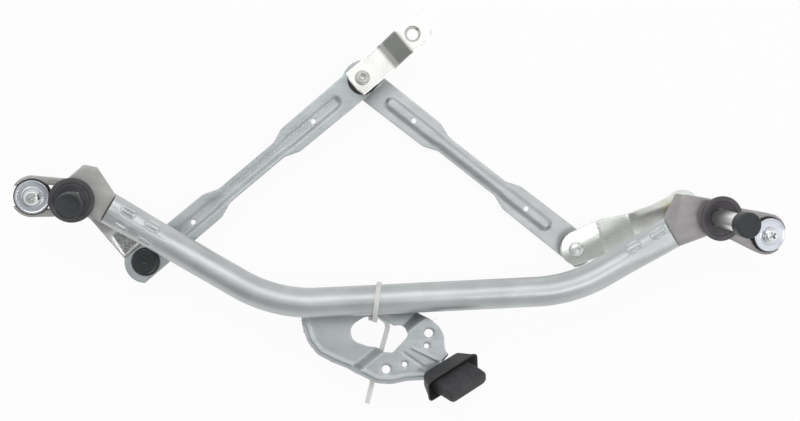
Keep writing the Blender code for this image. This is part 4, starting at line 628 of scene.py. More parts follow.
def resampled(points, spacing):
    """The same closed line with a point at least every so often."""
    made = []
    for (x1, y1), (x2, y2) in zip(points, points[1:] + points[:1]):
        count = max(1, math.ceil(math.hypot(x2 - x1, y2 - y1) / spacing))
        made += [(x1 + (x2 - x1) * k / count, y1 + (y2 - y1) * k / count) for k in range(count)]
    return made


def inside_all(points, loop):
    """Which of the points lie inside a closed outline."""
    x, y = points[:, 0], points[:, 1]
    found = np.zeros(len(points), bool)
    for (x1, y1), (x2, y2) in zip(loop, loop[1:] + loop[:1]):
        if y1 == y2:
            continue
        crosses = (y1 > y) != (y2 > y)
        found ^= crosses & (x < x1 + (y - y1) * (x2 - x1) / (y2 - y1))
    return found


def between(points, outline, holes):
    """Which of the points lie inside the outline and in none of its holes."""
    found = inside_all(points, outline)
    for hole in holes:
        found &= ~inside_all(points, hole)
    return found


def triangulated(outline, holes, spots=()):
    """The points of a flat sheet, and the three that make each of its faces."""
    points = []
    edges = []
    for loop in [outline] + holes:
        first = len(points)
        points.extend(Vector(p) for p in loop)
        edges.extend((k, k + 1) for k in range(first, len(points) - 1))
        edges.append((len(points) - 1, first))
    points.extend(Vector(p) for p in spots)
    verts, _, faces = delaunay_2d_cdt(points, edges, [], 0, JOIN_TOLERANCE)[:3]
    flat = np.array([tuple(v) for v in verts])
    middles = np.array([flat[list(face)].mean(axis=0) for face in faces])
    keep = between(middles, outline, holes)
    return flat, [face for face, kept in zip(faces, keep) if kept]


def line_distance(points, line, closed=False):
    """Distance from each point to a run of straight pieces."""
    points = np.atleast_2d(np.asarray(points, float))
    pairs = list(zip(line, line[1:] + line[:1])) if closed else list(zip(line, line[1:]))
    best = np.full(len(points), np.inf)
    for a, b in pairs:
        a, b = np.asarray(a, float), np.asarray(b, float)
        run = b - a
        length = float(run @ run)
        if length == 0:
            continue
        share = np.clip((points - a) @ run / length, 0, 1)
        best = np.minimum(best, np.linalg.norm(a + share[:, None] * run - points, axis=1))
    return best


def smooth_step(share):
    share = np.clip(share, 0, 1)
    return share * share * (3 - 2 * share)


def eased(share, ease):
    """A straight climb from 0 to 1 with short bends at both ends."""
    ramp = np.clip((share + ease / 2) / ease, 0, 1) ** 2 * ease / 2
    ramp = np.where(share > ease / 2, share, ramp)
    back = np.clip((share - 1 + ease / 2) / ease, 0, 1) ** 2 * ease / 2
    back = np.where(share > 1 + ease / 2, share - 1, back)
    return ramp - back


def pressed(name, outline, holes, height, thickness, finish, matrix, spacing, edge_width=0.35 * MM,
            marks=None):
    """A pressed sheet with an even mesh. Its upper face follows the height function of (x, y) arrays."""
    outline = resampled(outline, spacing)
    low = np.min(outline, axis=0)
    high = np.max(outline, axis=0)
    row = spacing * math.sqrt(3) / 2
    spots = []
    for j in range(int((high[1] - low[1]) / row) + 1):
        shift = spacing / 2 * (j % 2)
        for i in range(int((high[0] - low[0]) / spacing) + 1):
            spots.append((low[0] + shift + i * spacing, low[1] + j * row))
    spots = np.array(spots)
    spots = spots[between(spots, outline, holes)]
    for loop in [outline] + holes:
        spots = spots[line_distance(spots, loop, True) > spacing * 0.55]
    flat, faces = triangulated(outline, holes, spots)
    x, y = flat[:, 0], flat[:, 1]
    levels = height(x, y)
    small = 0.05 * MM
    slope_x = (height(x + small, y) - height(x - small, y)) / (2 * small)
    slope_y = (height(x, y + small) - height(x, y - small)) / (2 * small)
    drop = np.stack([-slope_x, -slope_y, np.ones(len(x))], 1)
    drop *= thickness / np.linalg.norm(drop, axis=1)[:, None]
    upper = np.stack([x, y, levels], 1)
    lower = upper - drop
    bm = bmesh.new()
    layer = bm.verts.layers.float.new(marks[0]) if marks else None
    shares = marks[1](x, y) if marks else None
    made = {}
    for face in faces:
        for i in face:
            if i not in made:
                made[i] = (bm.verts.new(upper[i]), bm.verts.new(lower[i]))
                if marks:
                    made[i][0][layer] = float(shares[i])
        bm.faces.new([made[i][0] for i in face])
        bm.faces.new([made[i][1] for i in reversed(face)])
    rims = [edge for edge in bm.edges if edge.is_boundary]
    under = {top: low for top, low in made.values()}
    for edge in rims:
        first, last = edge.verts
        if first in under and last in under:
            bm.faces.new((last, first, under[first], under[last]))
    bmesh.ops.recalc_face_normals(bm, faces=bm.faces)
    return bevelled(piece(name, bm, finish, matrix), edge_width)


def prism(name, outline, bottom, top, matrix):
    flat, faces = triangulated(outline, [])
    bm = bmesh.new()
    made = {}
    for face in faces:
        for i in face:
            if i not in made:
                made[i] = bm.verts.new((flat[i, 0], flat[i, 1], bottom))
        bm.faces.new([made[i] for i in face])
    raised = bmesh.ops.extrude_face_region(bm, geom=bm.faces[:])
    upper = [v for v in raised["geom"] if isinstance(v, bmesh.types.BMVert)]
    bmesh.ops.translate(bm, verts=upper, vec=(0, 0, top - bottom))
    bmesh.ops.recalc_face_normals(bm, faces=bm.faces)
    return piece(name, bm, None, matrix)


def turned(name, runs, finish, matrix, steps=FINE_STEPS):
    """A turned body. Each run is an open line of (radius, height, corner radius).

    A run ends on the axis, or the first and the last run close the shape between them.
    """
    bm = bmesh.new()
    rows = []
    edges = []
    for run in runs:
        line = rounded(run, 4, closed=False)
        row = [bm.verts.new((radius, 0, height)) for radius, height in line]
        edges += [bm.edges.new(pair) for pair in zip(row, row[1:])]
        rows.append(row)
    if runs[0][0][0] > 0:
        edges.append(bm.edges.new((rows[-1][-1], rows[0][0])))
    geom = [v for row in rows for v in row] + edges
    bmesh.ops.spin(bm, geom=geom, cent=(0, 0, 0), axis=(0, 0, 1), angle=math.tau, steps=steps)
    bmesh.ops.remove_doubles(bm, verts=bm.verts, dist=1e-6)
    bmesh.ops.recalc_face_normals(bm, faces=bm.faces)
    return piece(name, bm, finish, matrix)


def lofted(name, loops, finish, matrix, angle=38.0):
    bm = bmesh.new()
    rings = [[bm.verts.new(point) for point in loop] for loop in loops]
    for lower, upper in zip(rings, rings[1:]):
        for i in range(len(lower)):
            bm.faces.new((lower[i - 1], lower[i], upper[i], upper[i - 1]))
    bm.faces.new(rings[0])
    bm.faces.new(rings[-1])
    bmesh.ops.recalc_face_normals(bm, faces=bm.faces)
    return piece(name, bm, finish, matrix, angle)


def hull(name, points, matrix):
    bm = bmesh.new()
    verts = [bm.verts.new(point) for point in points]
    made = bmesh.ops.convex_hull(bm, input=verts)
    spare = {v for v in made["geom_interior"] + made["geom_unused"] if isinstance(v, bmesh.types.BMVert)}
    bmesh.ops.delete(bm, geom=list(spare), context="VERTS")
    bmesh.ops.recalc_face_normals(bm, faces=bm.faces)
    return piece(name, bm, None, matrix)


def ball_arc(radius, centre, start, end, steps):
    return [(r, h + centre, 0) for r, h in arc((0, 0), radius, start, end, steps)]


def frame_along(axis, across, origin):
    z = axis.normalized()
    x = (across - across.dot(z) * z).normalized()
    y = z.cross(x)
    turn = Matrix((x, y, z)).transposed().to_4x4()
    return Matrix.Translation(origin) @ turn


LEFT = DRAWING @ frame_along(SHAFT_LEAN, Vector((1, 0, 0)), LEFT_RING)
RIGHT = DRAWING @ frame_along(SHAFT_LEAN, Vector((1, 0, 0)), RIGHT_RING)


# Frame tube

def end_share(place_on_tube):
    near = min((place_on_tube - TUBE_START).length, (place_on_tube - TUBE_END).length)
    return float(smooth_step(1 - near / TUBE_END_TAPER))


def tube_section(share, half_width, half_height, steps):
    """Round where the share is 0, and squarer the nearer it is to 1."""
    points = []
    power = 2 + share
    for i in range(steps):
        angle = math.tau * (i + 0.5) / steps
        across = abs(math.cos(angle)) / half_width
        up = abs(math.sin(angle)) / half_height
        reach = (across**power + up**power) ** (-1 / power)
        points.append((reach * math.cos(angle), reach * math.sin(angle)))
    return points


def tube_stations():
    """(centre, direction, distance from the left end) along the tube, close together at the crimps."""
    corners = [TUBE_START, TUBE_LEFT_BEND, TUBE_RIGHT_BEND, TUBE_END]
    arcs = []
    steps = 26
    for before, corner, after in zip(corners, corners[1:], corners[2:]):
        back = (before - corner).normalized()
        on = (after - corner).normalized()
        half = back.angle(on) / 2
        centre = corner + (back + on).normalized() * TUBE_BEND_RADIUS / math.sin(half)
        spoke = corner + back * TUBE_BEND_RADIUS / math.tan(half) - centre
        turn = math.pi - 2 * half
        if back.cross(on).z > 0:
            turn = -turn
        places = []
        for k in range(steps + 1):
            spin = Matrix.Rotation(turn * k / steps, 3, "Z")
            places.append((centre + spin @ spoke, spin @ -back))
        arcs.append(places)
    fine = 0.6 * MM
    count = round(CRIMPED_LENGTH / fine)
    start_way = (corners[1] - corners[0]).normalized()
    end_way = (corners[3] - corners[2]).normalized()
    stations = [(corners[0] + start_way * fine * k, start_way) for k in range(count + 1)]
    stations += arcs[0]
    first, last = arcs[0][-1][0], arcs[1][0][0]
    for k in range(1, 24):
        stations.append((first.lerp(last, k / 24), arcs[0][-1][1]))
    stations += arcs[1]
    stations += [(corners[3] - end_way * fine * k, end_way) for k in range(count, -1, -1)]
    run = 0.0
    made = []
    for i, (centre, way) in enumerate(stations):
        if i:
            run += (centre - stations[i - 1][0]).length
        made.append((centre, way, run))
    return made


def press_depth(run, across, left):
    """How deep the crimping tool has pressed the tube's upper side, and the ridge it left beside the row."""
    start = LEFT_CRIMP_START if left else RIGHT_CRIMP_START
    rows = [(CRIMP_UPPER_OFFSET, 1.0)]
    if left:
        rows.append((-CRIMP_LOWER_OFFSET, CRIMP_LOWER_STRENGTH))
    depth = 0.0
    core = (CRIMP_LENGTH - CRIMP_WIDTH) / 2
    for offset, strength in rows:
        for k in range(2):
            x = run - start - CRIMP_PITCH * k
            y = across - offset
            from_core = math.hypot(max(abs(x) - core, 0), y)
            away = from_core - CRIMP_WIDTH / 2
            depth += CRIMP_DEPTH * strength * float(smooth_step(0.5 - away / CRIMP_EDGE))
            for side in (-1, 1):
                line = math.hypot(max(abs(x) - CRIMP_BAR_CORE, 0), y - side * CRIMP_BAR_OFFSET)
                depth -= CRIMP_DEPTH * strength * float(smooth_step(1.1 - line / CRIMP_BAR_EDGE))
        last = start + CRIMP_PITCH + CRIMP_LENGTH
        fade = float(smooth_step((last + 9 * MM - run) / (16 * MM)))
        wave = CRIMP_RIDGE_WAVE * math.cos(math.tau * (run - start) / CRIMP_PITCH)
        edge = offset - math.copysign(CRIMP_WIDTH / 2 + CRIMP_BAR_OFFSET, offset)
        edge -= math.copysign(wave, offset)
        beyond = (across - edge) * math.copysign(1, offset)
        depth += CRIMP_RIDGE_FALL * strength * fade * float(smooth_step(beyond / CRIMP_RIDGE_EDGE))
    return depth


def build_tube():
    steps = 132
    stations = tube_stations()
    length = stations[-1][2]
    bm = bmesh.new()
    unrolled = bm.loops.layers.uv.new("unrolled")
    skins = []
    for inset, picked in ((0.0, stations), (TUBE_WALL, stations[::8] + stations[-1:])):
        rings = []
        for centre, way, run in picked:
            share = end_share(centre)
            half_width = TUBE_RADIUS + (TUBE_END_HALF_WIDTH - TUBE_RADIUS) * share - inset
            half_height = TUBE_RADIUS + (TUBE_END_HALF_HEIGHT - TUBE_RADIUS) * share - inset
            side = Vector((0, 0, 1)).cross(way)
            left = run < length / 2
            from_end = run if left else length - run
            pressing = not inset and from_end < CRIMPED_LENGTH
            inward = way if left else -way
            slant = TUBE_END_SLANT * max(0.0, 1 - from_end / CRIMPED_LENGTH)
            ring = []
            for across, up in tube_section(share, half_width, half_height, steps):
                point = centre + side * across + Vector((0, 0, up)) + inward * slant * max(0.0, up)
                if pressing and up > 0:
                    out = Vector((across / half_width**2, up / half_height**2)).normalized()
                    depth = press_depth(from_end, across, left) * min(1.0, up / (3 * MM))
                    point -= (side * out.x + Vector((0, 0, out.y))) * depth
                ring.append(bm.verts.new(point))
            rings.append((ring, run))
        skins.append(rings)
    for rings in skins:
        for (lower, low_run), (upper, high_run) in zip(rings, rings[1:]):
            for i in range(steps):
                face = bm.faces.new((lower[i - 1], lower[i], upper[i], upper[i - 1]))
                turns = (i, i + 1, i + 1, i)
                runs = (low_run, low_run, high_run, high_run)
                for loop, turn, run in zip(face.loops, turns, runs):
                    loop[unrolled].uv = (turn / steps, run)
    for end in (0, -1):
        outside, bore = skins[0][end][0], skins[1][end][0]
        for i in range(steps):
            bm.faces.new((outside[i - 1], outside[i], bore[i], bore[i - 1]))
    bmesh.ops.recalc_face_normals(bm, faces=bm.faces)
    return fit(piece("tube_skin", bm, tube_finish, DRAWING), "frame", "galvanised_tube", "frame_tube")


# Pivot housings

def neck_frame(from_left):
    end, bend = (TUBE_START, TUBE_LEFT_BEND) if from_left else (TUBE_END, TUBE_RIGHT_BEND)
    way = (bend - end).normalized()
    return frame_along(way, Vector((0, 0, 1)).cross(way), end)


def fork_levels(ear_top):
    top = ear_top - MOUNT_WASHER_THICKNESS - GAP - GROMMET_FLANGE - GAP
    return top, top - FORK_THICKNESS


def fork_outlines(distance, root_half):
    """The ear's outline and its opening: a seat round the rubber, open at the tip and at the root."""
    tip = FORK_TIP_HALF
    outer = [(0, -root_half), (distance * 0.45, -root_half - 1 * MM), (distance - 6 * MM, -tip + 0.6 * MM)]
    outer += arc((distance, 0), tip, -84, -34, 10)
    outer += [(distance + tip * 0.92, -FORK_MOUTH_HALF + 1 * MM), (distance + tip * 0.84, -FORK_MOUTH_HALF)]
    outer += [(x, -y) for x, y in reversed(outer)]
    seat = GROMMET_GROOVE_RADIUS + GAP
    open_half = math.degrees(math.asin(FORK_MOUTH_HALF / seat))
    inner_half = root_half - FORK_RAIL
    inner = arc((distance, 0), seat, -open_half, -132, 20)
    inner += [(distance - 15.5 * MM, -inner_half + 1.5 * MM), (BARREL_RADIUS * 0.8, -inner_half + 2.5 * MM)]
    inner += [(x, -y) for x, y in reversed(inner)]
    inner += [(distance + tip * 1.2, FORK_MOUTH_HALF), (distance + tip * 1.2, -FORK_MOUTH_HALF)]
    return outer, inner


def fused(obj, size, smooth, finish):
    """One cast skin over joined bodies: remeshed, then eased so that every edge is a small radius."""
    remesh = obj.modifiers.new("skin", "REMESH")
    remesh.mode = "VOXEL"
    remesh.voxel_size = size
    ease = obj.modifiers.new("ease", "SMOOTH")
    ease.factor = 0.5
    ease.iterations = smooth
    settle(obj, 180.0)
    obj.data.materials.clear()
    obj.data.materials.append(finish.material)
    return obj


def build_housing(name, pivot, from_left, outline, barrel_bottom, ear_centre, ear_top, root_half, finish,
                  node):
    """A die-cast housing. Its deck's outline is (x, y, how far the corner lies below the deck)."""
    into_pivot = pivot.inverted() @ DRAWING @ neck_frame(from_left)
    barrel = [
        (0, barrel_bottom, 0),
        (BARREL_RADIUS - 1 * MM, barrel_bottom, 0),
        (BARREL_RADIUS, barrel_bottom + 1 * MM, 0),
        (BARREL_RADIUS + 1.5 * MM, DECK - 1 * MM, 0),
        (BARREL_RADIUS + 0.5 * MM, DECK, 0),
        (0, DECK, 0),
    ]
    body = turned(name, [barrel], None, pivot)
    section = tube_section(1, TUBE_END_HALF_WIDTH, TUBE_END_HALF_HEIGHT, 40)
    mouth = [into_pivot @ Vector((x, y, TUBE_END_SLANT * max(y, 0) - GAP)) for x, y in section]
    neck = [into_pivot @ Vector((x, y, -NECK_LENGTH)) for x, y in section]
    root = [into_pivot @ Vector((x * 0.95, y * 0.95, 2 * MM - NECK_LENGTH)) for x, y in section]
    top = [Vector((x, y, DECK - drop)) for x, y, drop in outline]
    low = [Vector((x * 0.99, y * 0.99, DECK - DECK_DEPTH)) for x, y, _ in outline]
    end, way = into_pivot.translation, into_pivot.to_3x3() @ Vector((0, 0, 1))
    for point in top + low:
        point -= way * max(0.0, (point - end).dot(way) + GAP)
    for point in mouth + neck + root:
        point.z = min(point.z, DECK + NECK_RISE)
    cut(body, hull("block", (root if from_left else mouth) + top + low, pivot), "UNION")
    if from_left:
        cut(body, hull("neck", mouth + neck, pivot), "UNION")
    half = 2.5 * MM
    towards = into_pivot @ Vector((0, 0, -NECK_LENGTH))
    reach = Vector((towards.x, towards.y))
    turn = Matrix.Rotation(math.atan2(reach.y, reach.x), 4, "Z")
    rib = []
    for side in (-half, half):
        rib.append(turn @ Vector((0, side, DECK - DECK_DEPTH / 2)))
        rib.append(turn @ Vector((reach.length * 0.9, side, DECK - DECK_DEPTH / 2 - 2 * MM)))
        rib.append(turn @ Vector((reach.length * 0.7, side, DECK - DECK_DEPTH - 3 * MM)))
        rib.append(turn @ Vector((BARREL_RADIUS * 0.9, side, barrel_bottom + 8 * MM)))
        rib.append(turn @ Vector((0, side, barrel_bottom + 8 * MM)))
    cut(body, hull("rib", rib, pivot), "UNION")
    outer, inner = fork_outlines(ear_centre.length, root_half)
    fork_top, fork_bottom = fork_levels(ear_top)
    ear = pivot @ Matrix.Rotation(math.atan2(ear_centre.y, ear_centre.x), 4, "Z")
    fork = prism("fork", outer, fork_bottom, fork_top, ear)
    slot = prism("slot", inner, fork_bottom - 2 * MM, fork_top + 2 * MM, ear)
    cut(fork, slot)
    cut(body, fork, "UNION")
    bore = SHAFT_RADIUS + GAP + BUSH_WALL + GAP
    channel = [(0, barrel_bottom - 5 * MM, 0), (bore, barrel_bottom - 5 * MM, 0), (bore, DECK + 5 * MM, 0)]
    channel += [(0, DECK + 5 * MM, 0)]
    cut(body, turned("bore", [channel], None, pivot))
    fused(body, 0.75 * MM, 6, finish)
    return fit(body, "frame", "die_cast", node)


# Round pieces of the pivots

def build_seal(name, pivot, finish, node):
    edge = 1.0 * MM
    outer = SEAL_RADIUS
    floor = -SEAL_HEIGHT
    neck = SHAFT_RADIUS + GAP
    profile = [
        (SEAL_SEAT_RADIUS, floor, 0),
        (outer - 4.6 * edge, floor, 0.6 * edge),
        (outer - 4.0 * edge, floor + 2.2 * edge, 1.0 * edge),
        (outer - 2.4 * edge, -3.6 * edge, 1.2 * edge),
        (outer - 0.2 * edge, -2.6 * edge, 0.6 * edge),
        (outer, -0.1 * edge, 1.0 * edge),
        (outer - 1.4 * edge, 0, 0.8 * edge),
        (outer - 4.0 * edge, -0.3 * edge, 0.8 * edge),
        (outer - 5.2 * edge, -1.9 * edge, 0.8 * edge),
        (outer - 6.4 * edge, -2.2 * edge, 0.6 * edge),
        (neck + 2.0 * edge, -4.6 * edge, 1.2 * edge),
        (neck, -5.4 * edge, 0.2 * edge),
        (neck, -6.2 * edge, 0),
        (SEAL_SEAT_RADIUS, -6.2 * edge, 0),
    ]
    obj = turned(name, [profile], finish, pivot, 96)
    return fit(obj, "frame", "black_rubber", node)


def threaded(name, radius, pitch, bottom, top, finish, matrix):
    """A screw's shank with a rolled thread, run out at both ends."""
    steps = 24
    rows_per_turn = 10
    rows = round((top - bottom) / pitch * rows_per_turn)
    loops = []
    for j in range(rows + 1):
        height = bottom + (top - bottom) * j / rows
        fade = min(1.0, (height - bottom) / pitch, (top - height) / pitch)
        loop = []
        for i in range(steps):
            angle = math.tau * i / steps
            phase = (height / pitch - angle / math.tau) % 1.0
            tooth = 1 - abs(2 * phase - 1)
            reach = radius - 0.55 * MM * (1 - tooth) * max(0.0, fade)
            loop.append((reach * math.cos(angle), reach * math.sin(angle), height))
        loops.append(loop)
    return lofted(name, loops, finish, matrix, 60.0)


def build_mount(side, pivot, ear_centre, ear_top):
    at_ear = pivot @ Matrix.Translation((ear_centre.x, ear_centre.y, 0))
    washer_low = ear_top - MOUNT_WASHER_THICKNESS
    top, bottom = fork_levels(ear_top)
    groove_top, groove_low = top + GAP, bottom - GAP
    rubber_low = groove_low - GROMMET_FLANGE
    hole = SLEEVE_RADIUS + GAP
    soft = 0.8 * MM
    grommet = [
        (hole, rubber_low, 0),
        (GROMMET_RADIUS - 0.3 * MM, rubber_low, soft),
        (GROMMET_RADIUS, groove_low, 0.5 * MM),
        (GROMMET_GROOVE_RADIUS, groove_low, 0.3 * MM),
        (GROMMET_GROOVE_RADIUS, groove_top, 0.3 * MM),
        (GROMMET_RADIUS, groove_top, 0.5 * MM),
        (GROMMET_RADIUS - 0.3 * MM, washer_low - GAP, soft),
        (hole, washer_low - GAP, 0),
    ]
    fit(turned(f"{side}_ear_rubber", [grommet], grommet_finish, at_ear), "frame", "black_rubber",
        f"{side}_mount_grommet")
    bore = 3.5 * MM
    washer = [
        (bore, washer_low, 0),
        (MOUNT_WASHER_RADIUS, washer_low, 0.35 * MM),
        (MOUNT_WASHER_RADIUS, ear_top, 0.45 * MM),
        (MOUNT_WASHER_RADIUS - 1.3 * MM, ear_top, 0.3 * MM),
        (MOUNT_WASHER_RADIUS - 2.0 * MM, ear_top - 0.28 * MM, 0.5 * MM),
        (SCREW_HEAD_RADIUS + 2.3 * MM, ear_top - 0.28 * MM, 0.5 * MM),
        (SCREW_HEAD_RADIUS + 1.2 * MM, ear_top, 0.4 * MM),
        (bore, ear_top, 0),
    ]
    fit(turned(f"{side}_ear_washer", [washer], washer_finish, at_ear, 96), "frame", "bright_zinc",
        f"{side}_mount_washer")
    head = ear_top + GAP
    crown = head + SCREW_HEAD_HEIGHT
    radius = SCREW_HEAD_RADIUS
    screw = [
        (0, head - 0.5 * MM, 0),
        (SCREW_RADIUS, head - 0.5 * MM, 0),
        (SCREW_RADIUS, head, 0),
        (radius - 0.2 * MM, head, 0.3 * MM),
        (radius, crown - 2.2 * MM, 1.6 * MM),
        (radius - 2.2 * MM, crown - 0.15 * MM, 1.4 * MM),
        (0, crown, 0),
    ]
    made = turned(f"{side}_ear_screw", [screw], screw_finish, at_ear)
    shank = threaded("shank", SCREW_RADIUS, SCREW_PITCH, head - SCREW_LENGTH, head - 0.2 * MM, screw_finish,
                     at_ear)
    cut(made, shank, "UNION")
    long, thin, deep = 3.9 * MM, 1.0 * MM, 2.6 * MM
    wings = []
    for k in range(2):
        spin = at_ear @ Matrix.Rotation(math.pi / 2 * k + 0.6, 4, "Z")
        top_half = [(-long, -thin), (long, -thin), (long, thin), (-long, thin)]
        loops = []
        for scale, height in ((0.55, crown - deep), (1.0, crown + 0.5 * MM)):
            loops.append([(x * scale, y * (0.6 + 0.4 * scale), height) for x, y in top_half])
        wings.append(lofted("wing", loops, None, spin))
    for wing in wings:
        cut(made, wing)
    fit(made, "frame", "bright_zinc", f"{side}_mount_screw")


def build_arm_rounds(side, pivot, barrel_bottom):
    lever_top = barrel_bottom - GAP - WASHER_THICKNESS - GAP
    lever_low = lever_top - LEVER_THICKNESS
    cone_end = CONE_START + CONE_LENGTH
    thread_end = cone_end + THREAD_LENGTH
    clip_low = DECK + GAP + WASHER_THICKNESS + GAP
    groove = SHAFT_RADIUS - 0.9 * MM
    shaft = [
        (0, lever_low - GAP - SHAFT_HEAD_HEIGHT, 0),
        (SHAFT_HEAD_RADIUS - 1.6 * MM, lever_low - GAP - SHAFT_HEAD_HEIGHT, 0.6 * MM),
        (SHAFT_HEAD_RADIUS, lever_low - GAP - 0.8 * MM, 0.5 * MM),
        (SHAFT_HEAD_RADIUS, lever_low - GAP, 0),
        (SHAFT_TAIL_RADIUS, lever_low - GAP, 0),
        (SHAFT_TAIL_RADIUS, lever_top + GAP, 0),
        (SHAFT_RADIUS, lever_top + GAP, 0),
        (SHAFT_RADIUS, clip_low - 0.2 * MM, 0),
        (groove, clip_low - 0.2 * MM, 0),
        (groove, clip_low + 1.2 * MM, 0),
        (SHAFT_RADIUS, clip_low + 1.2 * MM, 0),
        (SHAFT_RADIUS, CONE_START, 0.4 * MM),
        (CONE_TOP_RADIUS, cone_end, 0.2 * MM),
        (THREAD_RADIUS, cone_end, 0),
        (THREAD_RADIUS, thread_end, 0.4 * MM),
        (0, thread_end, 0),
    ]
    fit(turned(f"{side}_turned_shaft", [shaft], steel_finish, pivot), f"{side}_arm", "machined_steel",
        f"{side}_shaft")
    cap_low = CAP_TOP - CAP_HEIGHT
    skirt = SHAFT_RADIUS + GAP
    hollow = CAP_RADIUS - CAP_WALL
    room = CAP_TOP - CAP_WALL
    outside = [
        (skirt, cap_low, 0),
        (CAP_RADIUS - 0.1 * MM, cap_low, 0.5 * MM),
        (CAP_RADIUS, CAP_TOP, 1.5 * MM),
        (CAP_RADIUS * 0.78, CAP_TOP, 0.5 * MM),
        (CAP_RADIUS * 0.74, CAP_TOP - 0.35 * MM, 0.5 * MM),
        (0, CAP_TOP - 0.3 * MM, 0),
    ]
    inside = [(0, room, 0), (hollow, room, 0.8 * MM), (hollow, cap_low + 1.6 * MM, 0.3 * MM)]
    inside += [(skirt, cap_low + 1.6 * MM, 0.2 * MM)]
    fit(turned(f"{side}_cap", [outside, inside], cap_finish, pivot), f"{side}_arm", "black_plastic",
        f"{side}_shaft_cap")
    return lever_top


# Levers

def stud_runs(seat, plate):
    top = -seat
    low = top - plate
    head = low - GAP
    collar = top + GAP
    neck = math.degrees(math.acos(STUD_NECK_RADIUS / BALL_RADIUS))
    run = [
        (0, head - STUD_HEAD_HEIGHT + 1.0 * MM, 0),
        (STUD_HEAD_RADIUS * 0.32, head - STUD_HEAD_HEIGHT + 0.5 * MM, 0.8 * MM),
        (STUD_HEAD_RADIUS * 0.5, head - STUD_HEAD_HEIGHT, 1.0 * MM),
        (STUD_HEAD_RADIUS * 0.86, head - STUD_HEAD_HEIGHT * 0.66, 1.6 * MM),
        (STUD_HEAD_RADIUS, head - STUD_HEAD_HEIGHT * 0.1, 1.0 * MM),
        (STUD_HEAD_RADIUS, head, 0),
        (STUD_SHANK_RADIUS, head, 0),
        (STUD_SHANK_RADIUS, collar, 0),
        (STUD_COLLAR_RADIUS, collar, 0.2 * MM),
        (STUD_COLLAR_RADIUS, collar + 1.4 * MM, 0.5 * MM),
        (STUD_NECK_RADIUS, collar + 1.8 * MM, 0.4 * MM),
    ]
    run += ball_arc(BALL_RADIUS, 0, -neck, 90, 20)[:-1]
    return [run + [(0, BALL_RADIUS, 0)]]


def build_left_lever(lever_top):
    ball = LEFT.inverted() @ DRAWING @ LEFT_BALL
    length = Vector((ball.x, ball.y)).length
    turn = Matrix.Rotation(math.atan2(ball.y, ball.x), 4, "Z")
    rise = ball.z - STUD_RISE - lever_top
    start, end = 22.0 * MM, 52.0 * MM

    def pocket(x, y):
        along = np.minimum(x - POCKET_START, length - POCKET_END_GAP - x) / POCKET_END_EDGE
        lower = y + 4.8 * MM + 0.27 * (x - 51.5 * MM)
        return smooth_step(np.minimum(along, np.minimum(lower, 11 * MM - y) / POCKET_SIDE_EDGE))

    def height(x, y):
        return rise * smooth_step((x - start) / (end - start)) - POCKET_DEPTH * pocket(x, y)

    outline = rounded(
        plain(arc((0, 0), 15.0 * MM, 50, 310, 40))
        + [(26 * MM, -8.0 * MM, 14 * MM), (54 * MM, -10.0 * MM, 14 * MM)]
        + plain(arc((length, 0), 14.5 * MM, -105, 105, 36))
        + [(54 * MM, 10.0 * MM, 14 * MM), (26 * MM, 8.0 * MM, 14 * MM)]
    )
    holes = [
        circle((0, 0), SHAFT_TAIL_RADIUS + GAP, 48),
        circle((length, 0), STUD_SHANK_RADIUS + GAP, 32),
    ]
    lift = Matrix.Translation((0, 0, lever_top))
    lever = pressed("left_lever_plate", outline, holes, height, LEVER_THICKNESS, pocket_finish,
                    LEFT @ lift @ turn, 1.3 * MM, marks=("pocket", pocket))
    fit(lever, "left_arm", "bright_zinc", "left_lever")
    stud = turned("left_stud", stud_runs(STUD_RISE, LEVER_THICKNESS), steel_finish,
                  LEFT @ Matrix.Translation(ball), 48)
    fit(stud, "left_arm", "machined_steel", "left_ball_stud")


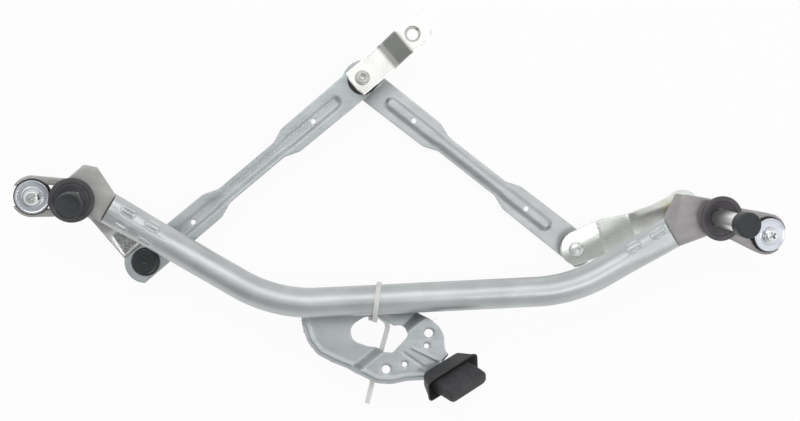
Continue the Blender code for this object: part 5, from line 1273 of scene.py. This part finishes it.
def build_right_lever(lever_top):
    ball = RIGHT.inverted() @ DRAWING @ RIGHT_BALL
    turn = Matrix.Rotation(math.atan2(ball.y, ball.x), 4, "Z")
    length = Vector((ball.x, ball.y)).length
    first, second, slope = RIGHT_LEVER_FIRST_BEND, RIGHT_LEVER_SECOND_BEND, RIGHT_LEVER_SLOPE
    ease = 3.0 * MM

    def bent(x, place):
        """How far a line that bends softly at a place has fallen beyond it, for a slope of one."""
        beyond = np.clip((x - place + ease) / (2 * ease), 0, 1)
        return np.where(x > place + ease, x - place, ease * beyond * beyond)

    def height(x, y):
        level = -slope / 2 * (bent(x, first) + bent(x, second))
        for place in (first, second):
            level = level + BEND_RIDGE * smooth_step(1 - abs(x - place) / BEND_RIDGE_REACH)
        rolled = smooth_step((-y - 7 * MM) / (10 * MM)) * smooth_step((first - x) / (14 * MM))
        return level - ROLLED_EDGE_DROP * rolled

    outline = rounded(
        plain(arc((0, 0), 17.6 * MM, 78, 296, 40))
        + [(28 * MM, -14.3 * MM, 12 * MM), (57 * MM, -15.2 * MM, 20 * MM), (81 * MM, -18.9 * MM, 14 * MM)]
        + plain(arc((length, 0), 16.5 * MM, -78, 66, 30))
        + [(83 * MM, 14.6 * MM, 16 * MM), (48 * MM, 12.6 * MM, 24 * MM), (26 * MM, 14.8 * MM, 16 * MM)]
    )
    zone_axis = Vector((slope, 0, 1)).normalized()
    drop = zone_axis * STUD_DROP
    seat = Vector((length, 0, ball.z - lever_top)) + drop
    holes = [
        circle((0, 0), SHAFT_TAIL_RADIUS + GAP, 48),
        circle((seat.x, seat.y), STUD_SHANK_RADIUS + GAP, 32),
    ]
    lift = Matrix.Translation((0, 0, lever_top))
    lever = pressed("right_lever_plate", outline, holes, height, LEVER_THICKNESS, lever_finish,
                    RIGHT @ lift @ turn, 1.6 * MM)
    fit(lever, "right_arm", "bright_zinc", "right_lever")
    down = frame_along(turn.to_3x3() @ -zone_axis, Vector((1, 0, 0)), ball)
    stud = turned("right_stud", stud_runs(STUD_DROP - LEVER_THICKNESS, LEVER_THICKNESS), steel_finish,
                  RIGHT @ down, 48)
    fit(stud, "right_arm", "machined_steel", "right_ball_stud")


# Links and sockets

def build_link(name, node, body, start_place, end_place, near_reach, far_reach, depth, far_groove, finish):
    length = (end_place - start_place).length
    matrix = DRAWING @ frame_along(Vector((0, 0, 1)), end_place - start_place, start_place)
    sweep = math.degrees(math.asin(LINK_END_HALF / LINK_END_RADIUS))
    bend = 9.0 * MM
    upper = [
        (near_reach, LINK_WIDE_HALF, bend),
        (near_reach + LINK_WAIST_RAMP, LINK_NARROW_HALF, bend),
        (length - far_reach - LINK_WAIST_RAMP, LINK_NARROW_HALF, bend),
        (length - far_reach, LINK_WIDE_HALF, bend),
    ]
    lower = [(x, -y, r) for x, y, r in reversed(upper)]
    left_end = arc((0, 0), LINK_END_RADIUS, 180 + sweep, 180 - sweep, 16)
    right_end = arc((length, 0), LINK_END_RADIUS, sweep, -sweep, 16)
    corners = [(x, y, 0) for x, y in left_end] + upper + [(x, y, 0) for x, y in right_end] + lower
    outline = rounded(corners, 6)
    start, end = BEAD_START + BEAD_HALF_WIDTH, length - BEAD_START - BEAD_HALF_WIDTH

    def height(x, y):
        from_spine = np.hypot(x - np.clip(x, start, end), y)
        middle = (near_reach + length - far_reach) / 2
        waist_half = (length - far_reach - near_reach) / 2
        waist = smooth_step((waist_half - abs(x - middle)) / LINK_WAIST_RAMP)
        floor = BEAD_FLOOR_HALF_WIDTH + (BEAD_WAIST_FLOOR - BEAD_FLOOR_HALF_WIDTH) * waist
        share = (BEAD_HALF_WIDTH - from_spine) / (BEAD_HALF_WIDTH - floor)
        bead = depth * smooth_step(share)
        return LINK_THICKNESS / 2 + bead

    clear = GAP + 0.15 * MM
    holes = [
        circle((0, 0), SOCKET_GROOVE_RADIUS + clear, 48),
        circle((length, 0), far_groove + clear, 48),
        circle((LINK_HOLE_NEAR, 0), LINK_HOLE_RADIUS, 24),
        circle((length - LINK_HOLE_FAR, 0), LINK_HOLE_RADIUS, 24),
    ]
    link = pressed(name, outline, holes, height, LINK_THICKNESS, finish, matrix, 1.5 * MM)
    fit(link, body, "galvanised_sheet", node)
    return matrix, length


def socket_runs(flange, closed_top):
    half = LINK_THICKNESS / 2 + GAP
    upper = half + SOCKET_FLANGE
    lower = -half - SOCKET_FLANGE
    cavity = BALL_RADIUS + BALL_PLAY
    mouth = BALL_RADIUS * 0.78
    tilt = math.degrees(math.acos(mouth / cavity))
    outside = [
        (mouth, -SOCKET_OPEN_REACH, 0),
        (SOCKET_LOWER_RADIUS - 1.5 * MM, -SOCKET_OPEN_REACH, 0.8 * MM),
        (SOCKET_LOWER_RADIUS, lower - 0.4 * MM, 0.6 * MM),
        (SOCKET_LOWER_RADIUS, -half, 0.2 * MM),
        (SOCKET_GROOVE_RADIUS, -half, 0),
        (SOCKET_GROOVE_RADIUS, half, 0),
        (flange, half, 0.3 * MM),
        (flange - 0.2 * MM, upper, 0.9 * MM),
    ]
    if not closed_top:
        outside += [
            (SOCKET_GROOVE_RADIUS - 0.4 * MM, upper + 0.2 * MM, 0.6 * MM),
            (SOCKET_GROOVE_RADIUS - 1.2 * MM, SOCKET_OPEN_REACH, 0.6 * MM),
            (mouth, SOCKET_OPEN_REACH, 0),
        ]
        return [outside + ball_arc(cavity, 0, tilt, -tilt, 14)]
    top = SOCKET_CLOSED_REACH
    outside += [
        (SOCKET_GROOVE_RADIUS + 0.9 * MM, upper + 0.1 * MM, 0.5 * MM),
        (SOCKET_GROOVE_RADIUS - 0.2 * MM, top - 0.9 * MM, 0.8 * MM),
        (SOCKET_GROOVE_RADIUS - 1.5 * MM, top, 0.6 * MM),
        (6.2 * MM, top - 0.1 * MM, 0.4 * MM),
        (5.6 * MM, top - 0.9 * MM, 0.4 * MM),
        (3.0 * MM, top - 0.9 * MM, 0.4 * MM),
        (2.4 * MM, top - 0.3 * MM, 0.4 * MM),
        (1.0 * MM, top - 0.6 * MM, 0.4 * MM),
        (0, top - 1.0 * MM, 0),
    ]
    inside = [(0, cavity, 0)] + ball_arc(cavity, 0, 84, -tilt, 16)
    return [outside, inside]


def open_socket_runs():
    """The CAD socket whose ball has room to move."""
    room = BALL_RADIUS + 2.9 * MM
    mouth = STUD_NECK_RADIUS + 3.2 * MM
    half = LINK_THICKNESS / 2 + GAP
    low = -(BALL_RADIUS + 0.5 * MM)
    top = BALL_RADIUS + 2.8 * MM
    groove = OPEN_GROOVE_RADIUS
    return [[
        (0, BALL_RADIUS + 1.2 * MM, 0),
        (room - 2.5 * MM, BALL_RADIUS + 1.2 * MM, 0.6 * MM),
        (room, BALL_RADIUS - 1.5 * MM, 0.8 * MM),
        (room, -3.8 * MM, 0.6 * MM),
        (room - 1.0 * MM, -5.3 * MM, 0.4 * MM),
        (mouth, low + 1.2 * MM, 0.3 * MM),
        (mouth, low, 0.3 * MM),
        (groove - 0.8 * MM, low, 0.6 * MM),
        (groove + 1.4 * MM, -half - SOCKET_FLANGE, 0.6 * MM),
        (groove + 1.4 * MM, -half, 0.2 * MM),
        (groove, -half, 0),
        (groove, half, 0),
        (14.4 * MM, half, 0.3 * MM),
        (14.2 * MM, half + SOCKET_FLANGE, 0.8 * MM),
        (groove - 1.4 * MM, top, 1.0 * MM),
        (0, top, 0),
    ]]


def build_links():
    pin = CRANK_PIN
    upper_ball = Vector((pin.x, pin.y, UPPER_BALL_HEIGHT))
    lower_ball = Vector((pin.x, pin.y, LOWER_BALL_HEIGHT))
    left, left_length = build_link("left_link_strip", "left_link", "left_link", LEFT_BALL, upper_ball,
                                   81 * MM, 88 * MM, -BEAD_DEPTH, SOCKET_GROOVE_RADIUS, left_link_finish)
    right, right_length = build_link("right_link_strip", "right_link", "right_link", RIGHT_BALL, lower_ball,
                                     74 * MM, 82 * MM, BEAD_DEPTH, OPEN_GROOVE_RADIUS, right_link_finish)
    flip = Matrix.Rotation(math.pi, 4, "X")
    plans = [
        ("left_outer", socket_runs(SOCKET_FLANGE_RADIUS, True), left, "left_link", "left_link_outer_socket"),
        ("left_inner", socket_runs(SOCKET_WIDE_FLANGE_RADIUS, False),
         left @ Matrix.Translation((left_length, 0, 0)), "left_link", "left_link_inner_socket"),
        ("right_outer", socket_runs(SOCKET_FLANGE_RADIUS, True), right @ flip, "right_link",
         "right_link_outer_socket"),
        ("right_inner", open_socket_runs(), right @ Matrix.Translation((right_length, 0, 0)) @ flip,
         "right_link", "right_link_inner_socket"),
    ]
    for name, runs, matrix, body, node in plans:
        fit(turned(f"{name}_socket", runs, socket_finish, matrix, 64), body, "black_plastic", node)


# Crank

def build_crank():
    way = Vector((math.cos(CRANK_ANGLE), math.sin(CRANK_ANGLE), 0))
    pin = Vector((CRANK_PIN.x, CRANK_PIN.y, CRANK_PIN_TOP))
    matrix = DRAWING @ frame_along(Vector((0, 0, 1)), way, pin)
    start, end = 29.0 * MM, 49.5 * MM

    def height(x, y):
        return CRANK_STEP * eased((x - start) / (end - start), 0.16)

    half = CRANK_HALF_WIDTH
    far = CRANK_LENGTH + 16.0 * MM
    clip = 5.5 * MM
    outline = rounded([
        (-9.0 * MM, half, 1.2 * MM),
        (-11.0 * MM, half * 0.45, 9 * MM),
        (-11.0 * MM, -half * 0.45, 9 * MM),
        (-9.0 * MM, -half, 1.2 * MM),
        (far - clip, -half, 2.5 * MM),
        (far, -half + clip, 2.5 * MM),
        (far, half - clip, 2.5 * MM),
        (far - clip, half, 2.5 * MM),
    ])
    holes = [circle((0, 0), STUD_SHANK_RADIUS + GAP, 32)]

    def step_shade(x, y):
        """Painted shade on the step's sloping face, with a lighter band at its foot."""
        face = np.minimum(x - start, end - x)
        return smooth_step(face / (1.5 * MM)) * (0.3 + 0.7 * smooth_step((x - start - 4 * MM) / (1.5 * MM)))

    arm = pressed("crank_bar", outline, holes, height, CRANK_THICKNESS, crank_finish, matrix, 1.4 * MM,
                  edge_width=0.5 * MM, marks=("step_shade", step_shade))
    over = 1 * MM
    taper = [
        (0, CRANK_STEP - CRANK_THICKNESS - over, 0),
        (5.1 * MM - 0.53 * over, CRANK_STEP - CRANK_THICKNESS - over, 0),
        (7.5 * MM + 0.53 * over, CRANK_STEP + over, 0),
        (0, CRANK_STEP + over, 0),
    ]
    cut(arm, turned("taper", [taper], bore_finish, matrix @ Matrix.Translation((CRANK_LENGTH, 0, 0))))
    fit(arm, "crank", "bright_zinc", "crank_arm")
    upper = UPPER_BALL_HEIGHT - CRANK_PIN_TOP
    lower = LOWER_BALL_HEIGHT - CRANK_PIN_TOP
    head = GAP
    under = -CRANK_THICKNESS - GAP
    neck = math.degrees(math.acos(STUD_NECK_RADIUS / BALL_RADIUS))
    tall = STUD_HEAD_HEIGHT
    run = [(0, lower - BALL_RADIUS, 0)]
    run += ball_arc(BALL_RADIUS, lower, -90, neck, 20)[1:]
    run += ball_arc(BALL_RADIUS, upper, -neck, neck, 16)
    run += [
        (STUD_NECK_RADIUS, under - 1.6 * MM, 0.4 * MM),
        (STUD_COLLAR_RADIUS, under - 1.2 * MM, 0.4 * MM),
        (STUD_COLLAR_RADIUS, under, 0),
        (STUD_SHANK_RADIUS, under, 0),
        (STUD_SHANK_RADIUS, head, 0),
        (STUD_HEAD_RADIUS, head, 0),
        (STUD_HEAD_RADIUS, head + tall * 0.12, 0.8 * MM),
        (STUD_HEAD_RADIUS * 0.86, head + tall * 0.66, 1.8 * MM),
        (STUD_HEAD_RADIUS * 0.58, head + tall, 1.0 * MM),
        (STUD_HEAD_RADIUS * 0.36, head + tall * 0.66, 0.9 * MM),
        (0, head + tall * 0.36, 0),
    ]
    fit(turned("crank_stud", [run], rivet_finish, matrix, 56), "crank", "machined_steel", "crank_ball_stud")


# Motor plate

def tube_line_y(x):
    run = TUBE_RIGHT_BEND - TUBE_LEFT_BEND
    back = TUBE_START - TUBE_LEFT_BEND
    tangent = TUBE_BEND_RADIUS / math.tan(back.angle(run) / 2)
    into_bend = np.maximum(0.0, TUBE_LEFT_BEND.x + tangent - x)
    line = TUBE_LEFT_BEND.y + (x - TUBE_LEFT_BEND.x) * run.y / run.x
    return line + into_bend**2 / (2 * TUBE_BEND_RADIUS)


def build_plate():
    joggle_angle = math.radians(39)
    joggle_side = Vector((math.sin(joggle_angle), -math.cos(joggle_angle)))
    joggle_point = Vector((-7.0, 3.0)) * MM
    joggle_width = 9.0 * MM
    rise = SEAT_HEIGHT - PLATE_LOW
    reach = 10.0 * MM
    left_top = (-89 * MM, float(tube_line_y(-89 * MM)) + reach)
    right_top = (2 * MM, float(tube_line_y(2 * MM)) + reach)
    rim_corners = [
        (-86.2 * MM, 9.4 * MM, 0),
        (-81.8 * MM, -3.6 * MM, 20 * MM),
        (-72.6 * MM, -15.4 * MM, 16 * MM),
        (-57.8 * MM, -22.9 * MM, 20 * MM),
        (-40.0 * MM, -30.0 * MM, 20 * MM),
        (-18.0 * MM, -40.8 * MM, 18 * MM),
        (-4.0 * MM, -41.2 * MM, 16 * MM),
        (9.5 * MM, -38.3 * MM, 16 * MM),
        (24.0 * MM, -37.8 * MM, 0),
    ]
    rim = rounded(rim_corners, 6, closed=False)
    flat = math.hypot(FOOT_AXIS.x, FOOT_AXIS.y)
    tongue_way = Vector((FOOT_AXIS.x, FOOT_AXIS.y)) / flat
    tongue_side = Vector((-tongue_way.y, tongue_way.x))
    root = FOOT_TONGUE_ROOT
    tip = root + tongue_way * FOOT_TONGUE_LENGTH
    half = FOOT_TONGUE_HALF
    tongue = [
        (*(root - tongue_side * half), 1.5 * MM),
        (*(tip - tongue_side * half), 3 * MM),
        (*(tip + tongue_side * half), 3 * MM),
        (*(root + tongue_side * half), 1.5 * MM),
    ]
    seat_edge = [
        (45.6 * MM, -13.4 * MM, 2 * MM),
        (43.4 * MM, -7.9 * MM, 8 * MM),
        (42.8 * MM, 2.9 * MM, 12 * MM),
        (38.8 * MM, 10.9 * MM, 14 * MM),
        (29.4 * MM, 18.8 * MM, 14 * MM),
        (17.4 * MM, 24.3 * MM, 6 * MM),
        (12.0 * MM, 23.4 * MM, 0),
    ]
    cradle_edge = [(*right_top, 0), (*left_top, 6 * MM)]
    rest = rounded([(*rim[-1], 0)] + tongue + seat_edge + cradle_edge + [(*rim[0], 0)], 6, closed=False)
    outline = rim + rest[1:-1]

    def tube_shade(x, y):
        """Painted shade on the plate along and under the tube, heavier towards the right."""
        below = tube_line_y(x) - TUBE_RADIUS - y
        share = smooth_step(1 - below / (12 * MM)) * smooth_step((x + 92 * MM) / (20 * MM))
        return share * (0.45 + 0.5 * smooth_step((x + 12 * MM) / (14 * MM)))

    def height(x, y):
        across = (x - joggle_point.x) * joggle_side.x + (y - joggle_point.y) * joggle_side.y
        climb = np.clip(across / joggle_width, -0.1, 1.1)
        level = PLATE_LOW + rise * (0.35 * smooth_step(climb) + 0.65 * eased(climb, 0.16))
        past = y - tube_line_y(x)
        clear = TUBE_RADIUS + GAP
        cradle = -np.sqrt(np.maximum(clear**2 - past**2, 0))
        level = np.where(past > 0, np.maximum(level, cradle), level)
        edge = line_distance(np.stack([x, y], 1), rim)
        level = level - RIM_DROP * (1 - smooth_step(edge / RIM_WIDTH))
        level = level + RIM_RIDGE * smooth_step(1 - abs(edge - RIM_RIDGE_PLACE) / RIM_RIDGE_REACH)
        for x0, y0, radius in bolts:
            from_edge = np.hypot(x - x0, y - y0) - radius
            level = level - HOLE_SINK * (1 - smooth_step(from_edge / HOLE_SINK_REACH))
        beyond = (x - root.x) * tongue_way.x + (y - root.y) * tongue_way.y
        level = level + np.maximum(beyond, 0) * FOOT_AXIS.z / flat
        for (x1, y1), (x2, y2), wide, tall in ribs:
            away = line_distance(np.stack([x, y], 1), [(x1, y1), (x2, y2)])
            level = level + tall * smooth_step(1 - away / wide)
        return level

    ribs = [
        ((14.6 * MM, -8.2 * MM), (36.0 * MM, -18.6 * MM), 1.7 * MM, 0.9 * MM),
        ((6.2 * MM, -12.6 * MM), (25.0 * MM, -25.6 * MM), 1.8 * MM, -0.6 * MM),
    ]
    lobes = rounded([
        (-2.6 * MM, 11.4 * MM, 1.5 * MM),
        (6.3 * MM, 12.4 * MM, 6 * MM),
        (10.6 * MM, 3.0 * MM, 4 * MM),
        (-3.6 * MM, -12.4 * MM, 3 * MM),
        (-10.4 * MM, -12.0 * MM, 3.5 * MM),
        (-18.5 * MM, -7.9 * MM, 3 * MM),
        (-27.0 * MM, -7.3 * MM, 5 * MM),
        (-40.5 * MM, -2.4 * MM, 9 * MM),
        (-43.0 * MM, 10.5 * MM, 9 * MM),
        (-29.5 * MM, 19.8 * MM, 14 * MM),
        (-16.6 * MM, 19.9 * MM, 6 * MM),
    ])
    bolts = [
        (-9.8 * MM, -27.6 * MM, 4.3 * MM),
        (28.8 * MM, 5.3 * MM, 4.3 * MM),
        (6.9 * MM, -23.0 * MM, 2.7 * MM),
        (26.8 * MM, -6.3 * MM, 2.7 * MM),
    ]
    holes = [lobes] + [circle((x, y), radius - 0.3 * MM, 28) for x, y, radius in bolts]
    plate = pressed("motor_plate_sheet", outline, holes, height, PLATE_THICKNESS, plate_finish, DRAWING,
                    1.3 * MM, edge_width=0.4 * MM, marks=("tube_shade", tube_shade))
    fit(plate, "frame", "galvanised_sheet", "motor_plate")


# Foot and tie

def rectangle_loop(half_long, half_short, corner, height, steps=8):
    corners = [
        (half_long, -half_short, corner),
        (half_long, half_short, corner),
        (-half_long, half_short, corner),
        (-half_long, -half_short, corner),
    ]
    return [(x, y, height) for x, y in rounded(corners, steps)]


def build_foot():
    at_foot = DRAWING @ frame_along(FOOT_AXIS, FOOT_LONG, FOOT_CENTRE)
    levels = [
        (20.6, 7.4, 3.6, 0.0),
        (21.6, 8.3, 4.2, 0.3),
        (22.4, 9.0, 4.8, 1.2),
        (22.9, 9.4, 5.0, 2.4),
        (28.2, 10.7, 5.2, 12.6),
        (29.8, 11.3, 5.4, 14.6),
        (30.3, 11.4, 5.4, 15.6),
        (30.2, 11.3, 5.3, 16.0),
        (29.9, 11.0, 5.1, 16.2),
        (29.4, 10.6, 4.8, 16.1),
        (29.0, 10.3, 4.5, 15.7),
        (27.4, 9.7, 4.2, 12.6),
        (24.0, 8.6, 3.8, 6.6),
        (23.6, 8.3, 3.7, 6.1),
        (22.8, 7.4, 4.4, 6.0),
        (22.2, 6.9, 4.5, 6.5),
        (21.7, 6.5, 4.6, 33.6),
        (21.4, 6.2, 4.6, 35.2),
        (20.8, 5.7, 4.3, 36.1),
        (20.0, 5.0, 3.8, 36.4),
    ]
    loops = []
    for half_long, half_short, corner, height in levels:
        loops.append(rectangle_loop(half_long * MM, half_short * MM, corner * MM, height * MM))
    foot = lofted("foot", loops, foot_finish, at_foot, 44.0)
    flat = math.hypot(FOOT_AXIS.x, FOOT_AXIS.y)
    way = Vector((FOOT_AXIS.x, FOOT_AXIS.y)) / flat
    length = FOOT_TONGUE_LENGTH
    tip = Vector((*FOOT_TONGUE_ROOT, SEAT_HEIGHT)) + Vector((*(way * length), length * FOOT_AXIS.z / flat))
    top = DRAWING @ frame_along(FOOT_AXIS, Vector((-way.y, way.x, 0)), tip)
    half = FOOT_TONGUE_HALF + GAP
    room = []
    for x in (-half, half):
        for y in (-PLATE_THICKNESS - GAP, GAP):
            for z in (-length * 1.2, GAP):
                room.append((x, y, z))
    cut(foot, hull("tongue_slot", room, top))
    fit(foot, "frame", "black_rubber", "rubber_foot")


def ribbon(name, path, width, thick, finish, closed, matrix):
    """A strap along a path of (point, outward direction), with rounded edges."""
    section = rounded([(-0.5, -0.5, 0.2), (0.5, -0.5, 0.2), (0.5, 0.5, 0.2), (-0.5, 0.5, 0.2)], 2)
    bm = bmesh.new()
    rings = []
    count = len(path)
    for i, (point, out) in enumerate(path):
        before = path[(i - 1) % count if closed else max(i - 1, 0)][0]
        after = path[(i + 1) % count if closed else min(i + 1, count - 1)][0]
        way = (after - before).normalized()
        side = way.cross(out).normalized()
        up = side.cross(way)
        rings.append([bm.verts.new(point + side * x * width + up * y * thick) for x, y in section])
    pairs = list(zip(rings, rings[1:])) + ([(rings[-1], rings[0])] if closed else [])
    for lower, upper in pairs:
        for i in range(len(section)):
            bm.faces.new((lower[i - 1], lower[i], upper[i], upper[i - 1]))
    if not closed:
        bm.faces.new(rings[0])
        bm.faces.new(rings[-1])
    bmesh.ops.recalc_face_normals(bm, faces=bm.faces)
    return piece(name, bm, finish, matrix, 50.0)


def build_tie():
    centre_y = float(tube_line_y(TIE_X))
    clear = TUBE_RADIUS + 0.8 * MM + TIE_THICKNESS / 2
    low = PLATE_LOW - PLATE_THICKNESS - 1.0 * MM - TIE_THICKNESS / 2
    corners = plain(arc((centre_y, 0), clear, 10, 168, 30))
    corners += [(centre_y - clear, -5 * MM, 4 * MM), (TIE_HOLE_EDGE - TIE_THICKNESS / 2, PLATE_LOW, 4 * MM)]
    corners += [(TIE_HOLE_EDGE - TIE_THICKNESS / 2, low, 3 * MM), (centre_y + clear - 3 * MM, low, 4 * MM)]
    corners += [(centre_y + clear + 0.8 * MM, -8 * MM, 5 * MM)]
    line = resampled(rounded(corners, 5), 1.5 * MM)
    slant = frame_along(Vector((1, -0.12, 0)), Vector((0, 1, 0)), Vector((TIE_X, 0, 0)))
    middle = Vector((centre_y, -4 * MM))
    path = []
    for x, y in line:
        out = (Vector((x, y)) - middle).normalized()
        path.append((Vector((x, y, 0)), Vector((out.x, out.y, 0))))
    tie = ribbon("tie_strap", path, TIE_WIDTH, TIE_THICKNESS, nylon_finish, True, DRAWING @ slant)
    head_top = PLATE_LOW - PLATE_THICKNESS - 1.2 * MM
    head = []
    for x in (-0.9 * TIE_WIDTH, 0.9 * TIE_WIDTH):
        for y in (TIE_HOLE_EDGE, TIE_HOLE_EDGE + 8 * MM):
            for z in (head_top, head_top - 5 * MM):
                head.append((TIE_X + x, y, z))
    cut(tie, bevelled(hull("head", head, DRAWING), 0.5 * MM), "UNION")
    points = [(-19.0, 21.5, -20.2), (-10.5, 15.5, -21.2), (-8.6, 9.0, -21.8), (-14.2, -11.3, -22.8)]
    points += [(-22.7, -41.7, -23.2), (-27.3, -60.6, -21.5)]
    knots = [Vector(p) * MM for p in points]
    tail = []
    for i in range(len(knots) - 1):
        before = knots[max(i - 1, 0)]
        after = knots[min(i + 2, len(knots) - 1)]
        for k in range(8):
            share = k / 8
            point = knots[i] * (1 - share) + knots[i + 1] * share
            bend = (knots[i] * 2 - before - knots[i + 1]) * (1 - share)
            bend += (knots[i + 1] * 2 - knots[i] - after) * share
            tail.append((point + bend * share * (1 - share) / 4, Vector((0, 0, 1))))
    tail.append((knots[-1], Vector((0, 0, 1))))
    strip = ribbon("tail", tail, TIE_WIDTH, TIE_THICKNESS, nylon_finish, False, DRAWING)
    cut(tie, strip, "UNION")
    fit(tie, "frame", "natural_nylon", "cable_tie")


# The whole linkage

build_tube()
left_outline = [
    (-14 * MM, -9 * MM, FLUSH), (-14 * MM, 9 * MM, FLUSH), (0.5 * MM, 20.5 * MM, FLUSH),
    (10.3 * MM, 29.7 * MM, FLUSH), (22.3 * MM, 27.2 * MM, FLUSH), (36.5 * MM, 3.5 * MM, FLUSH),
    (24.1 * MM, -19.3 * MM, FLUSH), (12.3 * MM, -16.5 * MM, FLUSH),
]
right_outline = [
    (-32.8 * MM, 20.8 * MM, 3.5 * MM), (-10.3 * MM, 16.8 * MM, FLUSH),
    (10 * MM, 12 * MM, FLUSH), (12 * MM, -10 * MM, FLUSH), (-9.7 * MM, -14.9 * MM, FLUSH),
    (-20 * MM, -15.2 * MM, 3.0 * MM), (-26 * MM, -17.8 * MM, 6.0 * MM),
]
build_housing("left_casting", LEFT, True, left_outline, LEFT_BARREL_BOTTOM, LEFT_EAR_CENTRE, LEFT_EAR_TOP,
              16.5 * MM, left_cast_finish, "left_pivot_housing")
build_housing("right_casting", RIGHT, False, right_outline, RIGHT_BARREL_BOTTOM, RIGHT_EAR_CENTRE,
              RIGHT_EAR_TOP, 14.0 * MM, right_cast_finish, "right_pivot_housing")
build_seal("left_seal", LEFT, left_seal_finish, "left_seal_ring")
build_seal("right_seal", RIGHT, right_seal_finish, "right_seal_ring")
build_mount("left", LEFT, LEFT_EAR_CENTRE, LEFT_EAR_TOP)
build_mount("right", RIGHT, RIGHT_EAR_CENTRE, RIGHT_EAR_TOP)
build_left_lever(build_arm_rounds("left", LEFT, LEFT_BARREL_BOTTOM))
stain_place = DRAWING @ (Vector((255, 118, -52)) * MM)
stained_lever(lever_finish, stain_place)
build_right_lever(build_arm_rounds("right", RIGHT, RIGHT_BARREL_BOTTOM))
build_links()
build_crank()
build_plate()
build_foot()
build_tie()

# Pieces that stay as the solids have them, with a finish of their own
carried = {
    "upper_bush": bronze_finish, "lower_bush": bronze_finish, "mount_sleeve": screw_finish,
    "thrust_washer": cap_finish, "lower_washer": cap_finish, "retaining_clip": steel_finish,
}
for kind, finish in carried.items():
    for side in ("left", "right"):
        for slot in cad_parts[f"{side}_{kind}"].material_slots:
            slot.material = finish.material


# Floor, light and camera

def build_stage(low):
    mesh = bpy.data.meshes.new("floor")
    size = 6.0
    middle = CAMERA_PLACE - Vector((19.0, 0, 0)) * MM
    signs = [(-1, -1), (1, -1), (1, 1), (-1, 1)]
    corners = [(middle.x + x * size, middle.y + y * size, low) for x, y in signs]
    mesh.from_pydata(corners, [], [(0, 1, 2, 3)])
    floor = bpy.data.objects.new("floor", mesh)
    bpy.context.scene.collection.objects.link(floor)
    material = bpy.data.materials.new("pale_floor")
    material.use_nodes = True
    made = Nodes(material.node_tree)
    path = made.node("ShaderNodeLightPath", {})
    rays = path.value.node.outputs
    seen = Wire(made, rays["Is Camera Ray"]).most(Wire(made, rays["Is Glossy Ray"]))
    seen = seen.most(Wire(made, rays["Is Transmission Ray"]))
    plain_floor = made.node("ShaderNodeBsdfDiffuse", {}, (0.86, 0.86, 0.86))
    white = made.node("ShaderNodeEmission", {}, (1.0, 1.0, 1.0), 1.0)
    shown = made.node("ShaderNodeMixShader", {}, seen * FLOOR_WHITE, plain_floor, white)
    made.feed(made.nodes["Material Output"].inputs[0], shown)
    mesh.materials.append(material)


def lamp(name, place, towards, size, power):
    data = bpy.data.lights.new(name, "AREA")
    data.shape = "RECTANGLE"
    data.size, data.size_y = size
    data.energy = power
    made = bpy.data.objects.new(name, data)
    made.location = place
    made.rotation_euler = (Vector(towards) - Vector(place)).to_track_quat("-Z", "Y").to_euler()
    bpy.context.scene.collection.objects.link(made)


def build_world():
    """A pale room that is darker where a photographer would stand, and white behind the object."""
    world = bpy.data.worlds.new("studio")
    world.use_nodes = True
    made = Nodes(world.node_tree)
    way = made.node("ShaderNodeTexCoord", {})
    level = WORLD_LEVEL
    for place, reach, share in DARK_SPOTS:
        away = made.node("ShaderNodeVectorMath", {"operation": "DISTANCE"}, way, place, out=1)
        level = level * (1 - share * made.ramp(away / reach, (0.35, 1.0), (1.0, 0.0)))
    room = made.node("ShaderNodeBackground", {}, (0.96, 0.97, 0.98), level)
    white = made.node("ShaderNodeBackground", {}, (1.0, 1.0, 1.0), 1.0)
    path = made.node("ShaderNodeLightPath", {})
    shown = made.node("ShaderNodeMixShader", {}, path, room, white)
    made.feed(made.nodes["World Output"].inputs[0], shown)
    bpy.context.scene.world = world


build_world()
lamp("key", (0.42, -0.24, 1.4), (0.1, 0.1, 0), (0.35, 0.3), 2.6)
lamp("overhead", (-0.25, 0.8, 1.3), (0, 0.1, 0), (1.6, 0.6), 5.0)
lamp("side", (1.5, 0.1, 1.05), (0.1, 0.1, 0), (1.5, 1.9), 3.4)

camera_data = bpy.data.cameras.new("camera")
camera_data.lens = CAMERA_LENS
camera_data.sensor_width = 36.0
camera_data.clip_end = 50.0
camera = bpy.data.objects.new("camera", camera_data)
camera.location = DRAWING @ CAMERA_PLACE
bpy.context.scene.collection.objects.link(camera)
bpy.context.scene.camera = camera
bpy.context.scene.view_settings.view_transform = "Standard"

build_stage(cad_box[0][2] - 0.5 * MM)
